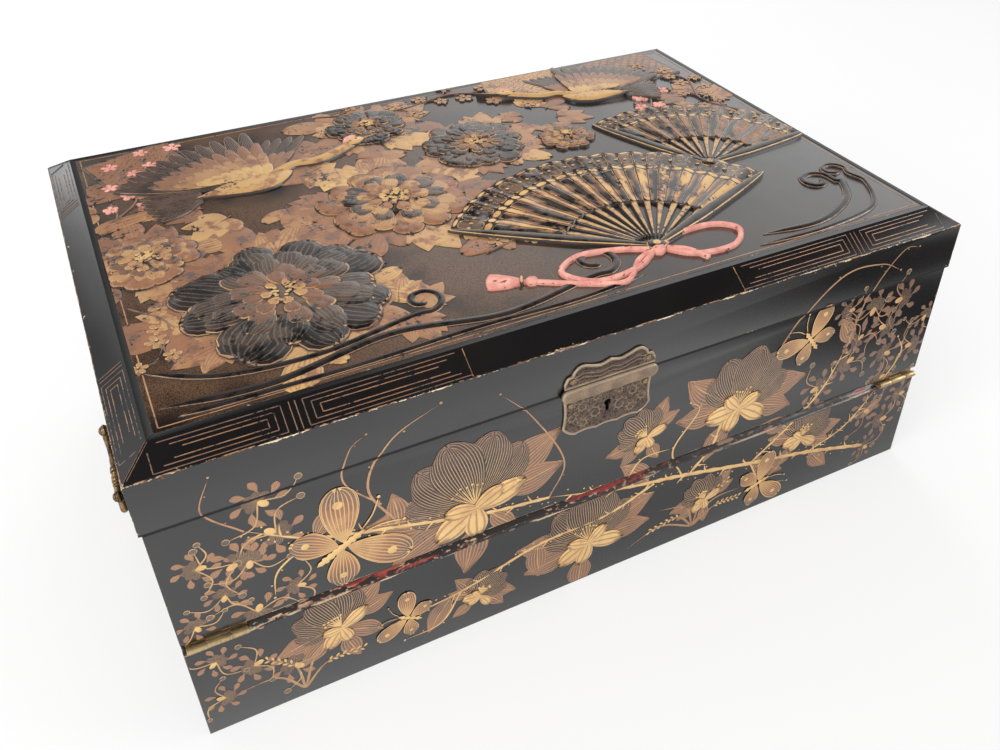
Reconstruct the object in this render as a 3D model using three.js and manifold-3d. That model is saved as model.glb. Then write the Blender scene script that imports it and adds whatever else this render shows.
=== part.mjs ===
// Japanese export lacquer writing box: a low case with a drop front, a lid with a bevelled border,
// a fitted writing interior, a link lock, four butt hinges and two drop handles.
// Millimetres, +Z up. The origin is the bottom centre of the box. The front faces -Y.

import * as THREE from 'three';
import { mergeVertices } from 'three/addons/utils/BufferGeometryUtils.js';
import Module from 'manifold-3d';

const wasm = await Module();
wasm.setup();

// Case and lid
const caseWidth = 430;
const caseDepth = 292;
const caseHeight = 138.5;
const wallThickness = 12;
const bottomThickness = 8;
const sillHeight = 63.6;
const sillChamfer = 3;
const lidRailHeight = 26.9;
const lidRailThickness = 12;
const lidOverhang = 1.2;
const lidClearance = 0.4;
const bevelRise = 8.1;
const bevelRun = 12.8;
const bevelTopFlat = 3;
const mitreGap = 0.15;
const liningThickness = 3;

// Drop front
const fallHingeGap = 0.8;
const fallTopClearance = 0.5;
const fallBackClearance = 0.3;
const fallChamfer = 3.2;
const fallBevelDepth = 4;
const fallBevelHeight = 2;

// Butt hinges
const hingeLength = 27;
const knuckleRadius = 1.8;
const knuckleBore = 1;
const hingePinRadius = 0.7;
const firstKnuckleShare = 0.32;
const secondKnuckleShare = 0.73;
const knuckleGap = 0.3;
const leafThickness = 1.2;
const leafInset = 2.4;
const leafWidth = 8.4;
const leafClearance = 0.3;
const fallHingeEdge = 1.8;
const fallHingeProud = 1.2;
const lidHingeSpacing = 260;
const lidHingeProud = 2.2;

// Interior
const slopeFrontDrop = 0.6;
const slopeBackDrop = 20;
const boardThickness = 6;
const boardClearance = 0.3;
const toeRailThickness = 6.5;
const ledgerWidth = 8;
const ledgerHeight = 8;
const tillDepth = 74;
const partitionThickness = 6;
const partitionDrop = 18.5;
const inkBayWidth = 64;
const dividerThickness = 5;
const dividerDrop = 20.5;
const inkFloorHeight = 66;
const inkFloorThickness = 4;
const cleatSize = 6;
const trayHeight = 26;
const trayWall = 4;
const trayFloor = 4;
const trayClearance = 0.3;
const wellSize = 44;
const wellHeight = 40;
const wellWall = 5;
const wellChamfer = 4;
const capRadius = 15;
const capHeight = 8;
const seatClearance = 0.3;

// Lock
const lockX = -3.4;
const plateThickness = 1.2;
const lowerPlateHalfWidth = 24.6;
const lowerPlateDrop = 27.1;
const lowerLobeBulge = 0.9;
const cornerInset = 7;
const cornerRise = 5.6;
const cornerHollow = 0.9;
const sideBulge = 0.9;
const barHalfWidth = 26.2;
const barDrop = 3.7;
const barLap = 3;
const barProud = 2.5;
const upperPlateHalfWidth = 24.6;
const plateGap = 0.3;
const upperPlateHeight = 11.8;
const upperLobeBulge = 2.2;
const shoulderInset = 4.2;
const shoulderDrop = 5;
const keyholeDrop = 13.1;
const keyholeRadius = 1.9;
const keySlotWidth = 2;
const keySlotDrop = 5.4;
const keyPinRadius = 0.7;
const nailRadius = 1.4;
const nailHeight = 0.8;
const nailInset = 4;
const lockCaseHalfWidth = 21;
const lockCaseDrop = 30.5;
const lockCaseTopDrop = 0.8;
const lockCaseDepth = 8;
const lockClearance = 0.3;
const linkOffset = 6;
const linkThickness = 2.4;
const linkBar = 1.2;
const linkDepth = 5.4;
const linkDrop = 11.4;
const linkPlateHalfWidth = 16;
const linkPlateDepth = 7.2;
const linkSideClearance = 1.2;
const linkBottomClearance = 2;
const boltHeight = 4;
const boltRise = 1.5;
const boltLength = 14.8;
const boltSideClearance = 0.3;
const boltStandOff = 2;
const boltTravel = 8;

// Drop handles
const handleHeight = 57;
const postSpacing = 57;
const postReach = 11.2;
const postBallRadius = 3.7;
const postBoreRadius = 1.4;
const postNeckRadius = 2.5;
const postFlangeRadius = 5.4;
const postFlangeThickness = 1.6;
const pintleRadius = 1;
const bailDrop = 14;
const bailRodRadius = 2.2;
const bailEyeRadius = 1.7;
const bailEyeGap = 0.6;
const bailCornerRadius = 5;
const beadRadius = 3.5;

// Levels and faces that several pieces share
const halfWidth = caseWidth / 2;
const halfDepth = caseDepth / 2;
const innerX = halfWidth - wallThickness;
const innerY = halfDepth - wallThickness;
const fallBottom = sillHeight + fallHingeGap;
const fallTop = caseHeight - fallTopClearance;
const fallFront = -halfDepth;
const fallBack = -innerY - fallBackClearance;
const lidBottom = caseHeight + lidClearance;
const railTop = lidBottom + lidRailHeight;
const lidTop = railTop + bevelRise;
const lidX = halfWidth + lidOverhang;
const lidY = halfDepth + lidOverhang;
const lidInnerX = lidX - lidRailThickness;
const lidInnerY = lidY - lidRailThickness;
const bevelWidth = bevelRun + bevelTopFlat;
const fallHingeY = -halfDepth - fallHingeProud;
const fallHingeZ = sillHeight + fallHingeGap / 2;
const fallHingeX = halfWidth - fallHingeEdge - hingeLength / 2;
const lidHingeY = halfDepth + lidHingeProud;
const lidHingeZ = caseHeight + lidClearance / 2;
const lidHingeX = lidHingeSpacing / 2;
const slopeFrontHeight = sillHeight - slopeFrontDrop;
const slopeBackHeight = caseHeight - slopeBackDrop;
const partitionBack = innerY - tillDepth;
const partitionFront = partitionBack - partitionThickness;
const partitionTop = caseHeight - partitionDrop;
const dividerTop = caseHeight - dividerDrop;
const lowerPlateBottom = caseHeight - lowerPlateDrop;
const barBottom = caseHeight - barDrop;
const barTop = lidBottom + barLap;
const upperPlateBottom = barTop + plateGap;
const upperPlateTop = upperPlateBottom + upperPlateHeight;
const keyholeHeight = caseHeight - keyholeDrop;
const lockCaseBottom = caseHeight - lockCaseDrop;

// Finishes
const blackLacquer = finish(0x0d0b0b, 0.18, 0.05);
const insideLacquer = finish(0x17100d, 0.35, 0);
const liningVelvet = finish(0x3a1518, 0.95, 0);
const goldBrass = finish(0xd8b878, 0.3, 1);
const agedBrass = finish(0x6e5638, 0.42, 1);
const steel = finish(0x8a8a88, 0.4, 1);
const glass = finish(0xbfd0cc, 0.08, 0);

function finish(color, roughness, metalness) {
  return new THREE.MeshStandardMaterial({ color, roughness, metalness });
}

function toSolid(geometry) {
  const plain = geometry.clone();
  plain.deleteAttribute('normal');
  plain.deleteAttribute('uv');
  const merged = mergeVertices(plain, 1e-4);
  const vertProperties = new Float32Array(merged.attributes.position.array);
  const triVerts = new Uint32Array(merged.index.array);
  return new wasm.Manifold(new wasm.Mesh({ numProp: 3, vertProperties, triVerts }));
}

function toGeometry(solid) {
  const mesh = solid.getMesh();
  const geometry = new THREE.BufferGeometry();
  geometry.setAttribute('position', new THREE.BufferAttribute(new Float32Array(mesh.vertProperties), 3));
  geometry.setIndex(new THREE.BufferAttribute(new Uint32Array(mesh.triVerts), 1));
  geometry.computeVertexNormals();
  return geometry;
}

function cut(base, ...cutters) {
  let solid = toSolid(base);
  for (const cutter of cutters) {
    solid = solid.subtract(toSolid(cutter));
  }
  return toGeometry(solid);
}

function join(...pieces) {
  let solid = toSolid(pieces[0]);
  for (const piece of pieces.slice(1)) {
    solid = solid.add(toSolid(piece));
  }
  return toGeometry(solid);
}

function block(x0, x1, y0, y1, z0, z1) {
  const geometry = new THREE.BoxGeometry(x1 - x0, y1 - y0, z1 - z0);
  return geometry.translate((x0 + x1) / 2, (y0 + y1) / 2, (z0 + z1) / 2);
}

// A prism along X with its outline given as [y, z] corners.
function prismAlongX(outline, x0, x1) {
  const shape = new THREE.Shape(outline.map(([y, z]) => new THREE.Vector2(y, z)));
  const geometry = new THREE.ExtrudeGeometry(shape, { depth: x1 - x0, bevelEnabled: false });
  geometry.rotateZ(Math.PI / 2);
  geometry.rotateY(Math.PI / 2);
  return geometry.translate(x0, 0, 0);
}

// A plate in the XZ plane: front face at yFront, back face at yBack.
function plateInXZ(shape, yFront, yBack, curveSegments = 5) {
  const depth = yBack - yFront;
  const geometry = new THREE.ExtrudeGeometry(shape, { depth, bevelEnabled: false, curveSegments });
  geometry.rotateX(Math.PI / 2);
  return geometry.translate(0, yBack, 0);
}

function piece(name, geometry, material) {
  const mesh = new THREE.Mesh(geometry, material);
  mesh.name = name;
  return mesh;
}

function assembly(...children) {
  const group = new THREE.Group();
  group.add(...children);
  return group;
}

// Space for a hinge leaf let into a wooden edge. The leaf lies inward from the barrel.
function leafPocket(hingeX, axisY, axisZ, inward, upward, halfGap) {
  const nearY = axisY + inward * (knuckleRadius + leafClearance / 2);
  const farY = axisY + inward * (leafInset + leafWidth + leafClearance);
  const faceZ = axisZ;
  const deepZ = axisZ + upward * (halfGap + leafThickness + leafClearance);
  return block(
    hingeX - hingeLength / 2 - leafClearance,
    hingeX + hingeLength / 2 + leafClearance,
    Math.min(nearY, farY),
    Math.max(nearY, farY),
    Math.min(faceZ, deepZ),
    Math.max(faceZ, deepZ),
  );
}

// Room for a barrel in the corner of a wooden edge.
function barrelNotch(hingeX, axisY, axisZ) {
  const reach = knuckleRadius + 2 * leafClearance;
  return block(
    hingeX - hingeLength / 2 - leafClearance,
    hingeX + hingeLength / 2 + leafClearance,
    axisY - reach,
    axisY + reach,
    axisZ - reach,
    axisZ + reach,
  );
}

function knuckle(x0, x1) {
  const profile = [
    new THREE.Vector2(knuckleBore, 0),
    new THREE.Vector2(knuckleRadius, 0),
    new THREE.Vector2(knuckleRadius, x1 - x0),
    new THREE.Vector2(knuckleBore, x1 - x0),
    new THREE.Vector2(knuckleBore, 0),
  ];
  return new THREE.LatheGeometry(profile, 16).rotateZ(-Math.PI / 2).translate(x0, 0, 0);
}

// One butt hinge with its barrel along X at the origin and its leaves towards +Y.
function buttHinge(name, halfGap) {
  const start = -hingeLength / 2;
  const first = start + firstKnuckleShare * hingeLength;
  const second = start + secondKnuckleShare * hingeLength;
  const end = hingeLength / 2;
  const half = knuckleGap / 2;
  const webStart = knuckleBore + 0.2;
  const leafEnd = leafInset + leafWidth;
  const lowTop = -halfGap;
  const low = -halfGap - leafThickness;
  const fixedLeaf = join(
    block(start, end, leafInset, leafEnd, low, lowTop),
    block(start, first - half, webStart, leafInset + 1, low, lowTop),
    block(second + half, end, webStart, leafInset + 1, low, lowTop),
    knuckle(start, first - half),
    knuckle(second + half, end),
  );
  const movingLeaf = join(
    block(start, end, leafInset, leafEnd, halfGap, halfGap + leafThickness),
    block(first + half, second - half, webStart, leafInset + 1, halfGap, halfGap + leafThickness),
    knuckle(first + half, second - half),
  );
  const pin = new THREE.CylinderGeometry(hingePinRadius, hingePinRadius, hingeLength, 12);
  return assembly(
    piece(`${name}_fixed_leaf`, fixedLeaf, goldBrass),
    piece(`${name}_moving_leaf`, movingLeaf, goldBrass),
    piece(`${name}_pin`, pin.rotateZ(Math.PI / 2), goldBrass),
  );
}

function hinges() {
  const fallLeft = buttHinge('fall_hinge_left', fallHingeGap / 2);
  fallLeft.position.set(-fallHingeX, fallHingeY, fallHingeZ);
  const fallRight = buttHinge('fall_hinge_right', fallHingeGap / 2);
  fallRight.position.set(fallHingeX, fallHingeY, fallHingeZ);
  const lidLeft = buttHinge('lid_hinge_left', lidClearance / 2);
  lidLeft.position.set(-lidHingeX, lidHingeY, lidHingeZ);
  lidLeft.rotation.z = Math.PI;
  const lidRight = buttHinge('lid_hinge_right', lidClearance / 2);
  lidRight.position.set(lidHingeX, lidHingeY, lidHingeZ);
  lidRight.rotation.z = Math.PI;
  return assembly(fallLeft, fallRight, lidLeft, lidRight);
}

function caseShell() {
  const sillOutline = [
    [-halfDepth, 0],
    [-innerY, 0],
    [-innerY, sillHeight],
    [-halfDepth + sillChamfer, sillHeight],
    [-halfDepth, sillHeight - sillChamfer],
  ];
  const sill = cut(
    prismAlongX(sillOutline, -halfWidth, halfWidth),
    leafPocket(-fallHingeX, fallHingeY, fallHingeZ, 1, -1, fallHingeGap / 2),
    leafPocket(fallHingeX, fallHingeY, fallHingeZ, 1, -1, fallHingeGap / 2),
  );
  const back = cut(
    block(-halfWidth, halfWidth, innerY, halfDepth, 0, caseHeight),
    leafPocket(-lidHingeX, lidHingeY, lidHingeZ, -1, -1, lidClearance / 2),
    leafPocket(lidHingeX, lidHingeY, lidHingeZ, -1, -1, lidClearance / 2),
    barrelNotch(-lidHingeX, lidHingeY, lidHingeZ),
    barrelNotch(lidHingeX, lidHingeY, lidHingeZ),
  );
  return assembly(
    piece('case_bottom', block(-innerX, innerX, -innerY, innerY, 0, bottomThickness), blackLacquer),
    piece('case_front_wall', sill, blackLacquer),
    piece('case_back_wall', back, blackLacquer),
    piece('case_left_wall', block(-halfWidth, -innerX, -innerY, innerY, 0, caseHeight), blackLacquer),
    piece('case_right_wall', block(innerX, halfWidth, -innerY, innerY, 0, caseHeight), blackLacquer),
  );
}

// Height of the writing slope's upper face above the case bottom, at a distance from front to back.
function slopeHeight(y) {
  const front = -innerY;
  return slopeFrontHeight + (slopeBackHeight - slopeFrontHeight) * (y - front) / (partitionFront - front);
}

function writingInterior() {
  const boardFront = -innerY + seatClearance;
  const boardBack = partitionFront - seatClearance;
  const boardOutline = [
    [boardFront, slopeHeight(boardFront) - boardThickness],
    [boardBack, slopeHeight(boardBack) - boardThickness],
    [boardBack, slopeHeight(boardBack)],
    [boardFront, slopeHeight(boardFront)],
  ];
  const boardX = innerX - boardClearance;
  const under = boardThickness + seatClearance;
  const toeBack = -innerY + toeRailThickness;
  const toeOutline = [
    [-innerY, bottomThickness],
    [toeBack, bottomThickness],
    [toeBack, slopeHeight(toeBack) - under],
    [-innerY, slopeHeight(-innerY) - under],
  ];
  const ledgerOutline = [
    [toeBack, slopeHeight(toeBack) - under - ledgerHeight],
    [partitionFront, slopeHeight(partitionFront) - under - ledgerHeight],
    [partitionFront, slopeHeight(partitionFront) - under],
    [toeBack, slopeHeight(toeBack) - under],
  ];
  const partition = block(-innerX, innerX, partitionFront, partitionBack, bottomThickness, partitionTop);
  return assembly(
    piece('writing_board', prismAlongX(boardOutline, -boardX, boardX), liningVelvet),
    piece('toe_rail', prismAlongX(toeOutline, -innerX, innerX), insideLacquer),
    piece('ledger_left', prismAlongX(ledgerOutline, -innerX, -innerX + ledgerWidth), insideLacquer),
    piece('ledger_right', prismAlongX(ledgerOutline, innerX - ledgerWidth, innerX), insideLacquer),
    piece('partition', partition, insideLacquer),
  );
}

// A square glass ink well with chamfered corners, open at the top, and its flat round cap.
function inkWell(side) {
  const half = wellSize / 2;
  const base = inkFloorHeight + inkFloorThickness + seatClearance;
  const outline = new THREE.Shape([
    new THREE.Vector2(-half + wellChamfer, -half),
    new THREE.Vector2(half - wellChamfer, -half),
    new THREE.Vector2(half, -half + wellChamfer),
    new THREE.Vector2(half, half - wellChamfer),
    new THREE.Vector2(half - wellChamfer, half),
    new THREE.Vector2(-half + wellChamfer, half),
    new THREE.Vector2(-half, half - wellChamfer),
    new THREE.Vector2(-half, -half + wellChamfer),
  ]);
  const body = new THREE.ExtrudeGeometry(outline, { depth: wellHeight, bevelEnabled: false });
  const inner = half - wellWall;
  const hollow = block(-inner, inner, -inner, inner, wellWall, wellHeight + 1);
  const capProfile = [
    new THREE.Vector2(0, 0),
    new THREE.Vector2(half - 1, 0),
    new THREE.Vector2(half - 1, 2),
    new THREE.Vector2(capRadius, 3),
    new THREE.Vector2(capRadius - 2, capHeight - 1),
    new THREE.Vector2(0, capHeight),
  ];
  const cap = new THREE.LatheGeometry(capProfile, 24).rotateX(Math.PI / 2);
  const name = side < 0 ? 'left' : 'right';
  const group = assembly(
    piece(`ink_well_${name}`, cut(body, hollow), glass),
    piece(`ink_well_cap_${name}`, cap.translate(0, 0, wellHeight + seatClearance), agedBrass),
  );
  const middleY = (partitionBack + innerY) / 2;
  group.position.set(side * (innerX - inkBayWidth / 2), middleY, base);
  return group;
}

function rearFittings() {
  const front = partitionBack;
  const dividerOuter = innerX - inkBayWidth;
  const dividerInner = dividerOuter - dividerThickness;
  const floorTop = inkFloorHeight + inkFloorThickness;
  const trayBottom = dividerTop - trayHeight;
  const cleatTop = trayBottom - seatClearance;
  const cleatInner = dividerInner - cleatSize;
  const group = new THREE.Group();
  for (const side of [-1, 1]) {
    const name = side < 0 ? 'left' : 'right';
    const span = (a, b) => (side < 0 ? [-b, -a] : [a, b]);
    const divider = block(...span(dividerInner, dividerOuter), front, innerY, bottomThickness, dividerTop);
    const floor = block(...span(dividerOuter, innerX), front, innerY, inkFloorHeight, floorTop);
    const cleat = block(...span(cleatInner, dividerInner), front, innerY, cleatTop - cleatSize, cleatTop);
    group.add(piece(`divider_${name}`, divider, insideLacquer));
    group.add(piece(`ink_bay_floor_${name}`, floor, insideLacquer));
    group.add(piece(`tray_cleat_${name}`, cleat, insideLacquer));
    group.add(inkWell(side));
  }
  const trayX = dividerInner - trayClearance;
  const trayFront = front + trayClearance;
  const trayBack = innerY - trayClearance;
  const tray = cut(
    block(-trayX, trayX, trayFront, trayBack, trayBottom, dividerTop),
    block(
      -trayX + trayWall,
      trayX - trayWall,
      trayFront + trayWall,
      trayBack - trayWall,
      trayBottom + trayFloor,
      dividerTop + 1,
    ),
  );
  group.add(piece('pen_tray', tray, insideLacquer));
  return group;
}

// A run of equal lobes from the pen's place to (x, y), each bulging to the left of the way it goes.
function lobes(shape, x, y, count, bulge) {
  const from = shape.currentPoint.clone();
  const step = new THREE.Vector2((x - from.x) / count, (y - from.y) / count);
  const outward = new THREE.Vector2(-step.y, step.x).normalize().multiplyScalar(2 * bulge);
  for (let index = 0; index < count; index += 1) {
    const middle = from.clone().addScaledVector(step, index + 0.5).add(outward);
    const end = from.clone().addScaledVector(step, index + 1);
    shape.quadraticCurveTo(middle.x, middle.y, end.x, end.y);
  }
}

// The plates are drawn with height upwards and turned to face the front afterwards.
function lowerPlateShape() {
  const shape = new THREE.Shape();
  const side = lowerPlateHalfWidth;
  const foot = side - cornerInset;
  shape.moveTo(lockX - side, barBottom + 1);
  shape.lineTo(lockX + side, barBottom + 1);
  lobes(shape, lockX + side, lowerPlateBottom + cornerRise, 1, -sideBulge);
  lobes(shape, lockX + foot, lowerPlateBottom, 1, cornerHollow);
  lobes(shape, lockX - foot, lowerPlateBottom, 3, -lowerLobeBulge);
  lobes(shape, lockX - side, lowerPlateBottom + cornerRise, 1, cornerHollow);
  lobes(shape, lockX - side, barBottom + 1, 1, -sideBulge);
  return shape;
}

function upperPlateShape() {
  const shape = new THREE.Shape();
  const side = upperPlateHalfWidth;
  const crown = side - shoulderInset;
  shape.moveTo(lockX + side, upperPlateBottom);
  lobes(shape, lockX + side - 1, upperPlateTop - shoulderDrop, 1, -sideBulge);
  lobes(shape, lockX + crown, upperPlateTop - upperLobeBulge, 1, cornerHollow);
  lobes(shape, lockX - crown, upperPlateTop - upperLobeBulge, 3, -upperLobeBulge);
  lobes(shape, lockX - side + 1, upperPlateTop - shoulderDrop, 1, cornerHollow);
  lobes(shape, lockX - side, upperPlateBottom, 1, -sideBulge);
  return shape;
}

function barShape() {
  const radius = (barTop - barBottom) / 2;
  const middle = barBottom + radius;
  const reach = barHalfWidth - radius;
  const shape = new THREE.Shape();
  shape.absarc(lockX + reach, middle, radius, -Math.PI / 2, Math.PI / 2, false);
  shape.absarc(lockX - reach, middle, radius, Math.PI / 2, Math.PI * 1.5, false);
  return shape;
}

function keyhole(yFront, yBack) {
  const round = new THREE.CylinderGeometry(keyholeRadius, keyholeRadius, yBack - yFront, 16);
  round.translate(lockX, (yFront + yBack) / 2, 0).translate(0, 0, keyholeHeight);
  const half = keySlotWidth / 2;
  const slot = block(lockX - half, lockX + half, yFront, yBack, keyholeHeight - keySlotDrop, keyholeHeight);
  return join(round, slot);
}

// One round-headed nail on a face that looks towards -Y.
function nail(name, x, faceY, z) {
  const profile = [
    new THREE.Vector2(0, 0),
    new THREE.Vector2(nailRadius, 0),
    new THREE.Vector2(nailRadius * 0.8, nailHeight * 0.7),
    new THREE.Vector2(0, nailHeight),
  ];
  const dome = new THREE.LatheGeometry(profile, 12).rotateX(Math.PI);
  return piece(name, dome.translate(x, faceY, z), agedBrass);
}

const lockCaseBack = fallBack - lockClearance;
const lockCaseFront = lockCaseBack - lockCaseDepth;
const lockCaseTop = fallTop - lockCaseTopDrop;
const linkBack = lockCaseBack - 1.4;
const linkFront = linkBack - linkDepth;
const linkBottom = lidBottom - linkDrop;
const linkX = lockX + linkOffset;
const eyeFront = linkFront + linkBar;
const eyeBack = linkBack - linkBar;
const boltBottom = linkBottom + linkBar + boltRise;
const boltEnd = linkX - linkThickness / 2 - boltStandOff;

function lock() {
  const plateFront = fallFront - plateThickness;
  const barBack = -lidY - lockClearance;
  const barFront = barBack - barProud;
  const barSeat = block(
    lockX - barHalfWidth + 4,
    lockX + barHalfWidth - 4,
    barBack - 0.5,
    plateFront + 0.2,
    barBottom,
    fallTop,
  );
  const lowerPlate = join(
    cut(
      plateInXZ(lowerPlateShape(), plateFront, fallFront),
      keyhole(plateFront - 1, fallFront + 1),
    ),
    barSeat,
    plateInXZ(barShape(), barFront, barBack, 8),
  );
  const upperFace = -lidY;
  const upperFront = upperFace - plateThickness;
  const upperPlate = plateInXZ(upperPlateShape(), upperFront, upperFace);

  const pocket = block(
    linkX - linkThickness / 2 - linkSideClearance,
    linkX + linkThickness / 2 + linkSideClearance,
    linkFront - 0.6,
    lockCaseBack + 1,
    linkBottom - linkBottomClearance,
    lockCaseTop + 1,
  );
  const channel = block(
    boltEnd - boltLength - 2,
    boltEnd + boltTravel + 3,
    eyeFront,
    eyeBack,
    boltBottom - boltSideClearance,
    boltBottom + boltHeight + boltSideClearance,
  );
  const keyRoomBack = lockCaseFront + 4;
  const keyPin = new THREE.CylinderGeometry(keyPinRadius, keyPinRadius, 4.5, 10);
  keyPin.translate(lockX, keyRoomBack - 1.75, keyholeHeight);
  const caseBody = join(
    cut(
      block(
        lockX - lockCaseHalfWidth,
        lockX + lockCaseHalfWidth,
        lockCaseFront,
        lockCaseBack,
        lockCaseBottom,
        lockCaseTop,
      ),
      pocket,
      channel,
      keyhole(lockCaseFront - 1, keyRoomBack),
    ),
    keyPin,
  );
  const bolt = block(
    boltEnd - boltLength,
    boltEnd,
    eyeFront + boltSideClearance,
    eyeBack - boltSideClearance,
    boltBottom,
    boltBottom + boltHeight,
  );
  const linkPlateMiddle = (linkFront + linkBack) / 2;
  const eye = cut(
    block(
      linkX - linkThickness / 2,
      linkX + linkThickness / 2,
      linkFront,
      linkBack,
      linkBottom,
      lidBottom + 0.5,
    ),
    block(linkX - linkThickness, linkX + linkThickness, eyeFront, eyeBack, linkBottom + linkBar, lidBottom),
  );
  const link = join(
    block(
      lockX - linkPlateHalfWidth,
      lockX + linkPlateHalfWidth,
      linkPlateMiddle - linkPlateDepth / 2,
      linkPlateMiddle + linkPlateDepth / 2,
      lidBottom,
      lidBottom + plateThickness,
    ),
    eye,
  );
  const lowerNailX = lowerPlateHalfWidth - nailInset;
  const upperNailX = upperPlateHalfWidth - nailInset;
  const lowerNailZ = barBottom - nailInset;
  const upperNailZ = upperPlateBottom + nailInset;
  return assembly(
    piece('lock_plate_lower', lowerPlate, agedBrass),
    piece('lock_plate_upper', upperPlate, agedBrass),
    nail('lock_nail_lower_left', lockX - lowerNailX, plateFront, lowerNailZ),
    nail('lock_nail_lower_right', lockX + lowerNailX, plateFront, lowerNailZ),
    nail('lock_nail_upper_left', lockX - upperNailX, upperFront, upperNailZ),
    nail('lock_nail_upper_right', lockX + upperNailX, upperFront, upperNailZ),
    piece('lock_case', caseBody, steel),
    piece('lock_bolt', bolt, steel),
    piece('lock_link', link, goldBrass),
  );
}

function dropFront() {
  const outline = [
    [fallFront + fallChamfer, fallBottom],
    [fallBack, fallBottom],
    [fallBack, fallTop - fallBevelHeight],
    [fallBack - fallBevelDepth, fallTop],
    [fallFront, fallTop],
    [fallFront, fallBottom + fallChamfer],
  ];
  const lockMortise = block(
    lockX - lockCaseHalfWidth - lockClearance,
    lockX + lockCaseHalfWidth + lockClearance,
    lockCaseFront - lockClearance,
    fallBack + 1,
    lockCaseBottom - lockClearance,
    fallTop + 1,
  );
  const panel = cut(
    prismAlongX(outline, -halfWidth, halfWidth),
    lockMortise,
    keyhole(fallFront - 1, lockCaseFront + 1),
    leafPocket(-fallHingeX, fallHingeY, fallHingeZ, 1, 1, fallHingeGap / 2),
    leafPocket(fallHingeX, fallHingeY, fallHingeZ, 1, 1, fallHingeGap / 2),
  );
  return piece('fall_panel', panel, blackLacquer);
}

// One side of the lid's bevelled border, mitred at both ends, along X on the side of the lid at -Y.
function bevelMoulding(halfLength, halfAcross) {
  const section = [
    [0, railTop],
    [bevelRun, lidTop],
    [bevelWidth, lidTop],
    [bevelWidth, railTop],
  ];
  const positions = [];
  for (const end of [-1, 1]) {
    for (const [inset, z] of section) {
      positions.push(end * (halfLength - inset - mitreGap), inset - halfAcross, z);
    }
  }
  const index = [0, 1, 2, 0, 2, 3, 4, 6, 5, 4, 7, 6];
  for (let corner = 0; corner < section.length; corner += 1) {
    const next = (corner + 1) % section.length;
    index.push(corner, next + 4, next, corner, corner + 4, next + 4);
  }
  const geometry = new THREE.BufferGeometry();
  geometry.setAttribute('position', new THREE.Float32BufferAttribute(positions, 3));
  geometry.setIndex(index);
  geometry.computeVertexNormals();
  return geometry;
}

function lid() {
  const linkMiddle = (linkFront + linkBack) / 2;
  const linkPocket = block(
    lockX - linkPlateHalfWidth - lockClearance,
    lockX + linkPlateHalfWidth + lockClearance,
    linkMiddle - linkPlateDepth / 2 - lockClearance,
    linkMiddle + linkPlateDepth / 2 + lockClearance,
    lidBottom - 1,
    lidBottom + plateThickness + lockClearance,
  );
  const frontRail = cut(block(-lidX, lidX, -lidY, -lidInnerY, lidBottom, railTop), linkPocket);
  const backRail = cut(
    block(-lidX, lidX, lidInnerY, lidY, lidBottom, railTop),
    leafPocket(-lidHingeX, lidHingeY, lidHingeZ, -1, 1, lidClearance / 2),
    leafPocket(lidHingeX, lidHingeY, lidHingeZ, -1, 1, lidClearance / 2),
    barrelNotch(-lidHingeX, lidHingeY, lidHingeZ),
    barrelNotch(lidHingeX, lidHingeY, lidHingeZ),
  );
  const leftRail = block(-lidX, -lidInnerX, -lidInnerY, lidInnerY, lidBottom, railTop);
  const rightRail = block(lidInnerX, lidX, -lidInnerY, lidInnerY, lidBottom, railTop);
  const lining = block(-lidInnerX, lidInnerX, -lidInnerY, lidInnerY, railTop - liningThickness, railTop);
  const panelX = lidX - bevelWidth;
  const panelY = lidY - bevelWidth;
  const panel = block(-panelX, panelX, -panelY, panelY, railTop, lidTop);
  const frontBevel = piece('lid_bevel_front', bevelMoulding(lidX, lidY), blackLacquer);
  const backBevel = piece('lid_bevel_back', bevelMoulding(lidX, lidY), blackLacquer);
  backBevel.rotation.z = Math.PI;
  const rightBevel = piece('lid_bevel_right', bevelMoulding(lidY, lidX), blackLacquer);
  rightBevel.rotation.z = Math.PI / 2;
  const leftBevel = piece('lid_bevel_left', bevelMoulding(lidY, lidX), blackLacquer);
  leftBevel.rotation.z = -Math.PI / 2;
  return assembly(
    piece('lid_front_rail', frontRail, blackLacquer),
    piece('lid_back_rail', backRail, blackLacquer),
    piece('lid_left_rail', leftRail, blackLacquer),
    piece('lid_right_rail', rightRail, blackLacquer),
    piece('lid_lining', lining, insideLacquer),
    piece('lid_top_panel', panel, blackLacquer),
    frontBevel,
    backBevel,
    leftBevel,
    rightBevel,
  );
}

// A turned post that stands out along +X from the origin, with a ball head bored along Y.
function handlePost() {
  const profile = [
    new THREE.Vector2(0, 0),
    new THREE.Vector2(postFlangeRadius, 0),
    new THREE.Vector2(postFlangeRadius, postFlangeThickness * 0.5),
    new THREE.Vector2(postNeckRadius + 0.6, postFlangeThickness),
    new THREE.Vector2(postNeckRadius, postFlangeThickness * 2),
    new THREE.Vector2(postNeckRadius, postReach - postBallRadius * 0.8),
  ];
  const startAngle = Math.asin(postNeckRadius / postBallRadius);
  const ballSteps = 7;
  for (let step = 0; step < ballSteps; step += 1) {
    const angle = startAngle + (Math.PI - startAngle) * step / ballSteps;
    const radius = postBallRadius * Math.sin(angle);
    profile.push(new THREE.Vector2(radius, postReach - postBallRadius * Math.cos(angle)));
  }
  profile.push(new THREE.Vector2(0, postReach + postBallRadius));
  const post = new THREE.LatheGeometry(profile, 14).rotateZ(-Math.PI / 2);
  const bore = new THREE.CylinderGeometry(postBoreRadius, postBoreRadius, 4 * postBallRadius, 12);
  return cut(post, bore.translate(postReach, 0, 0));
}

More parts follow.
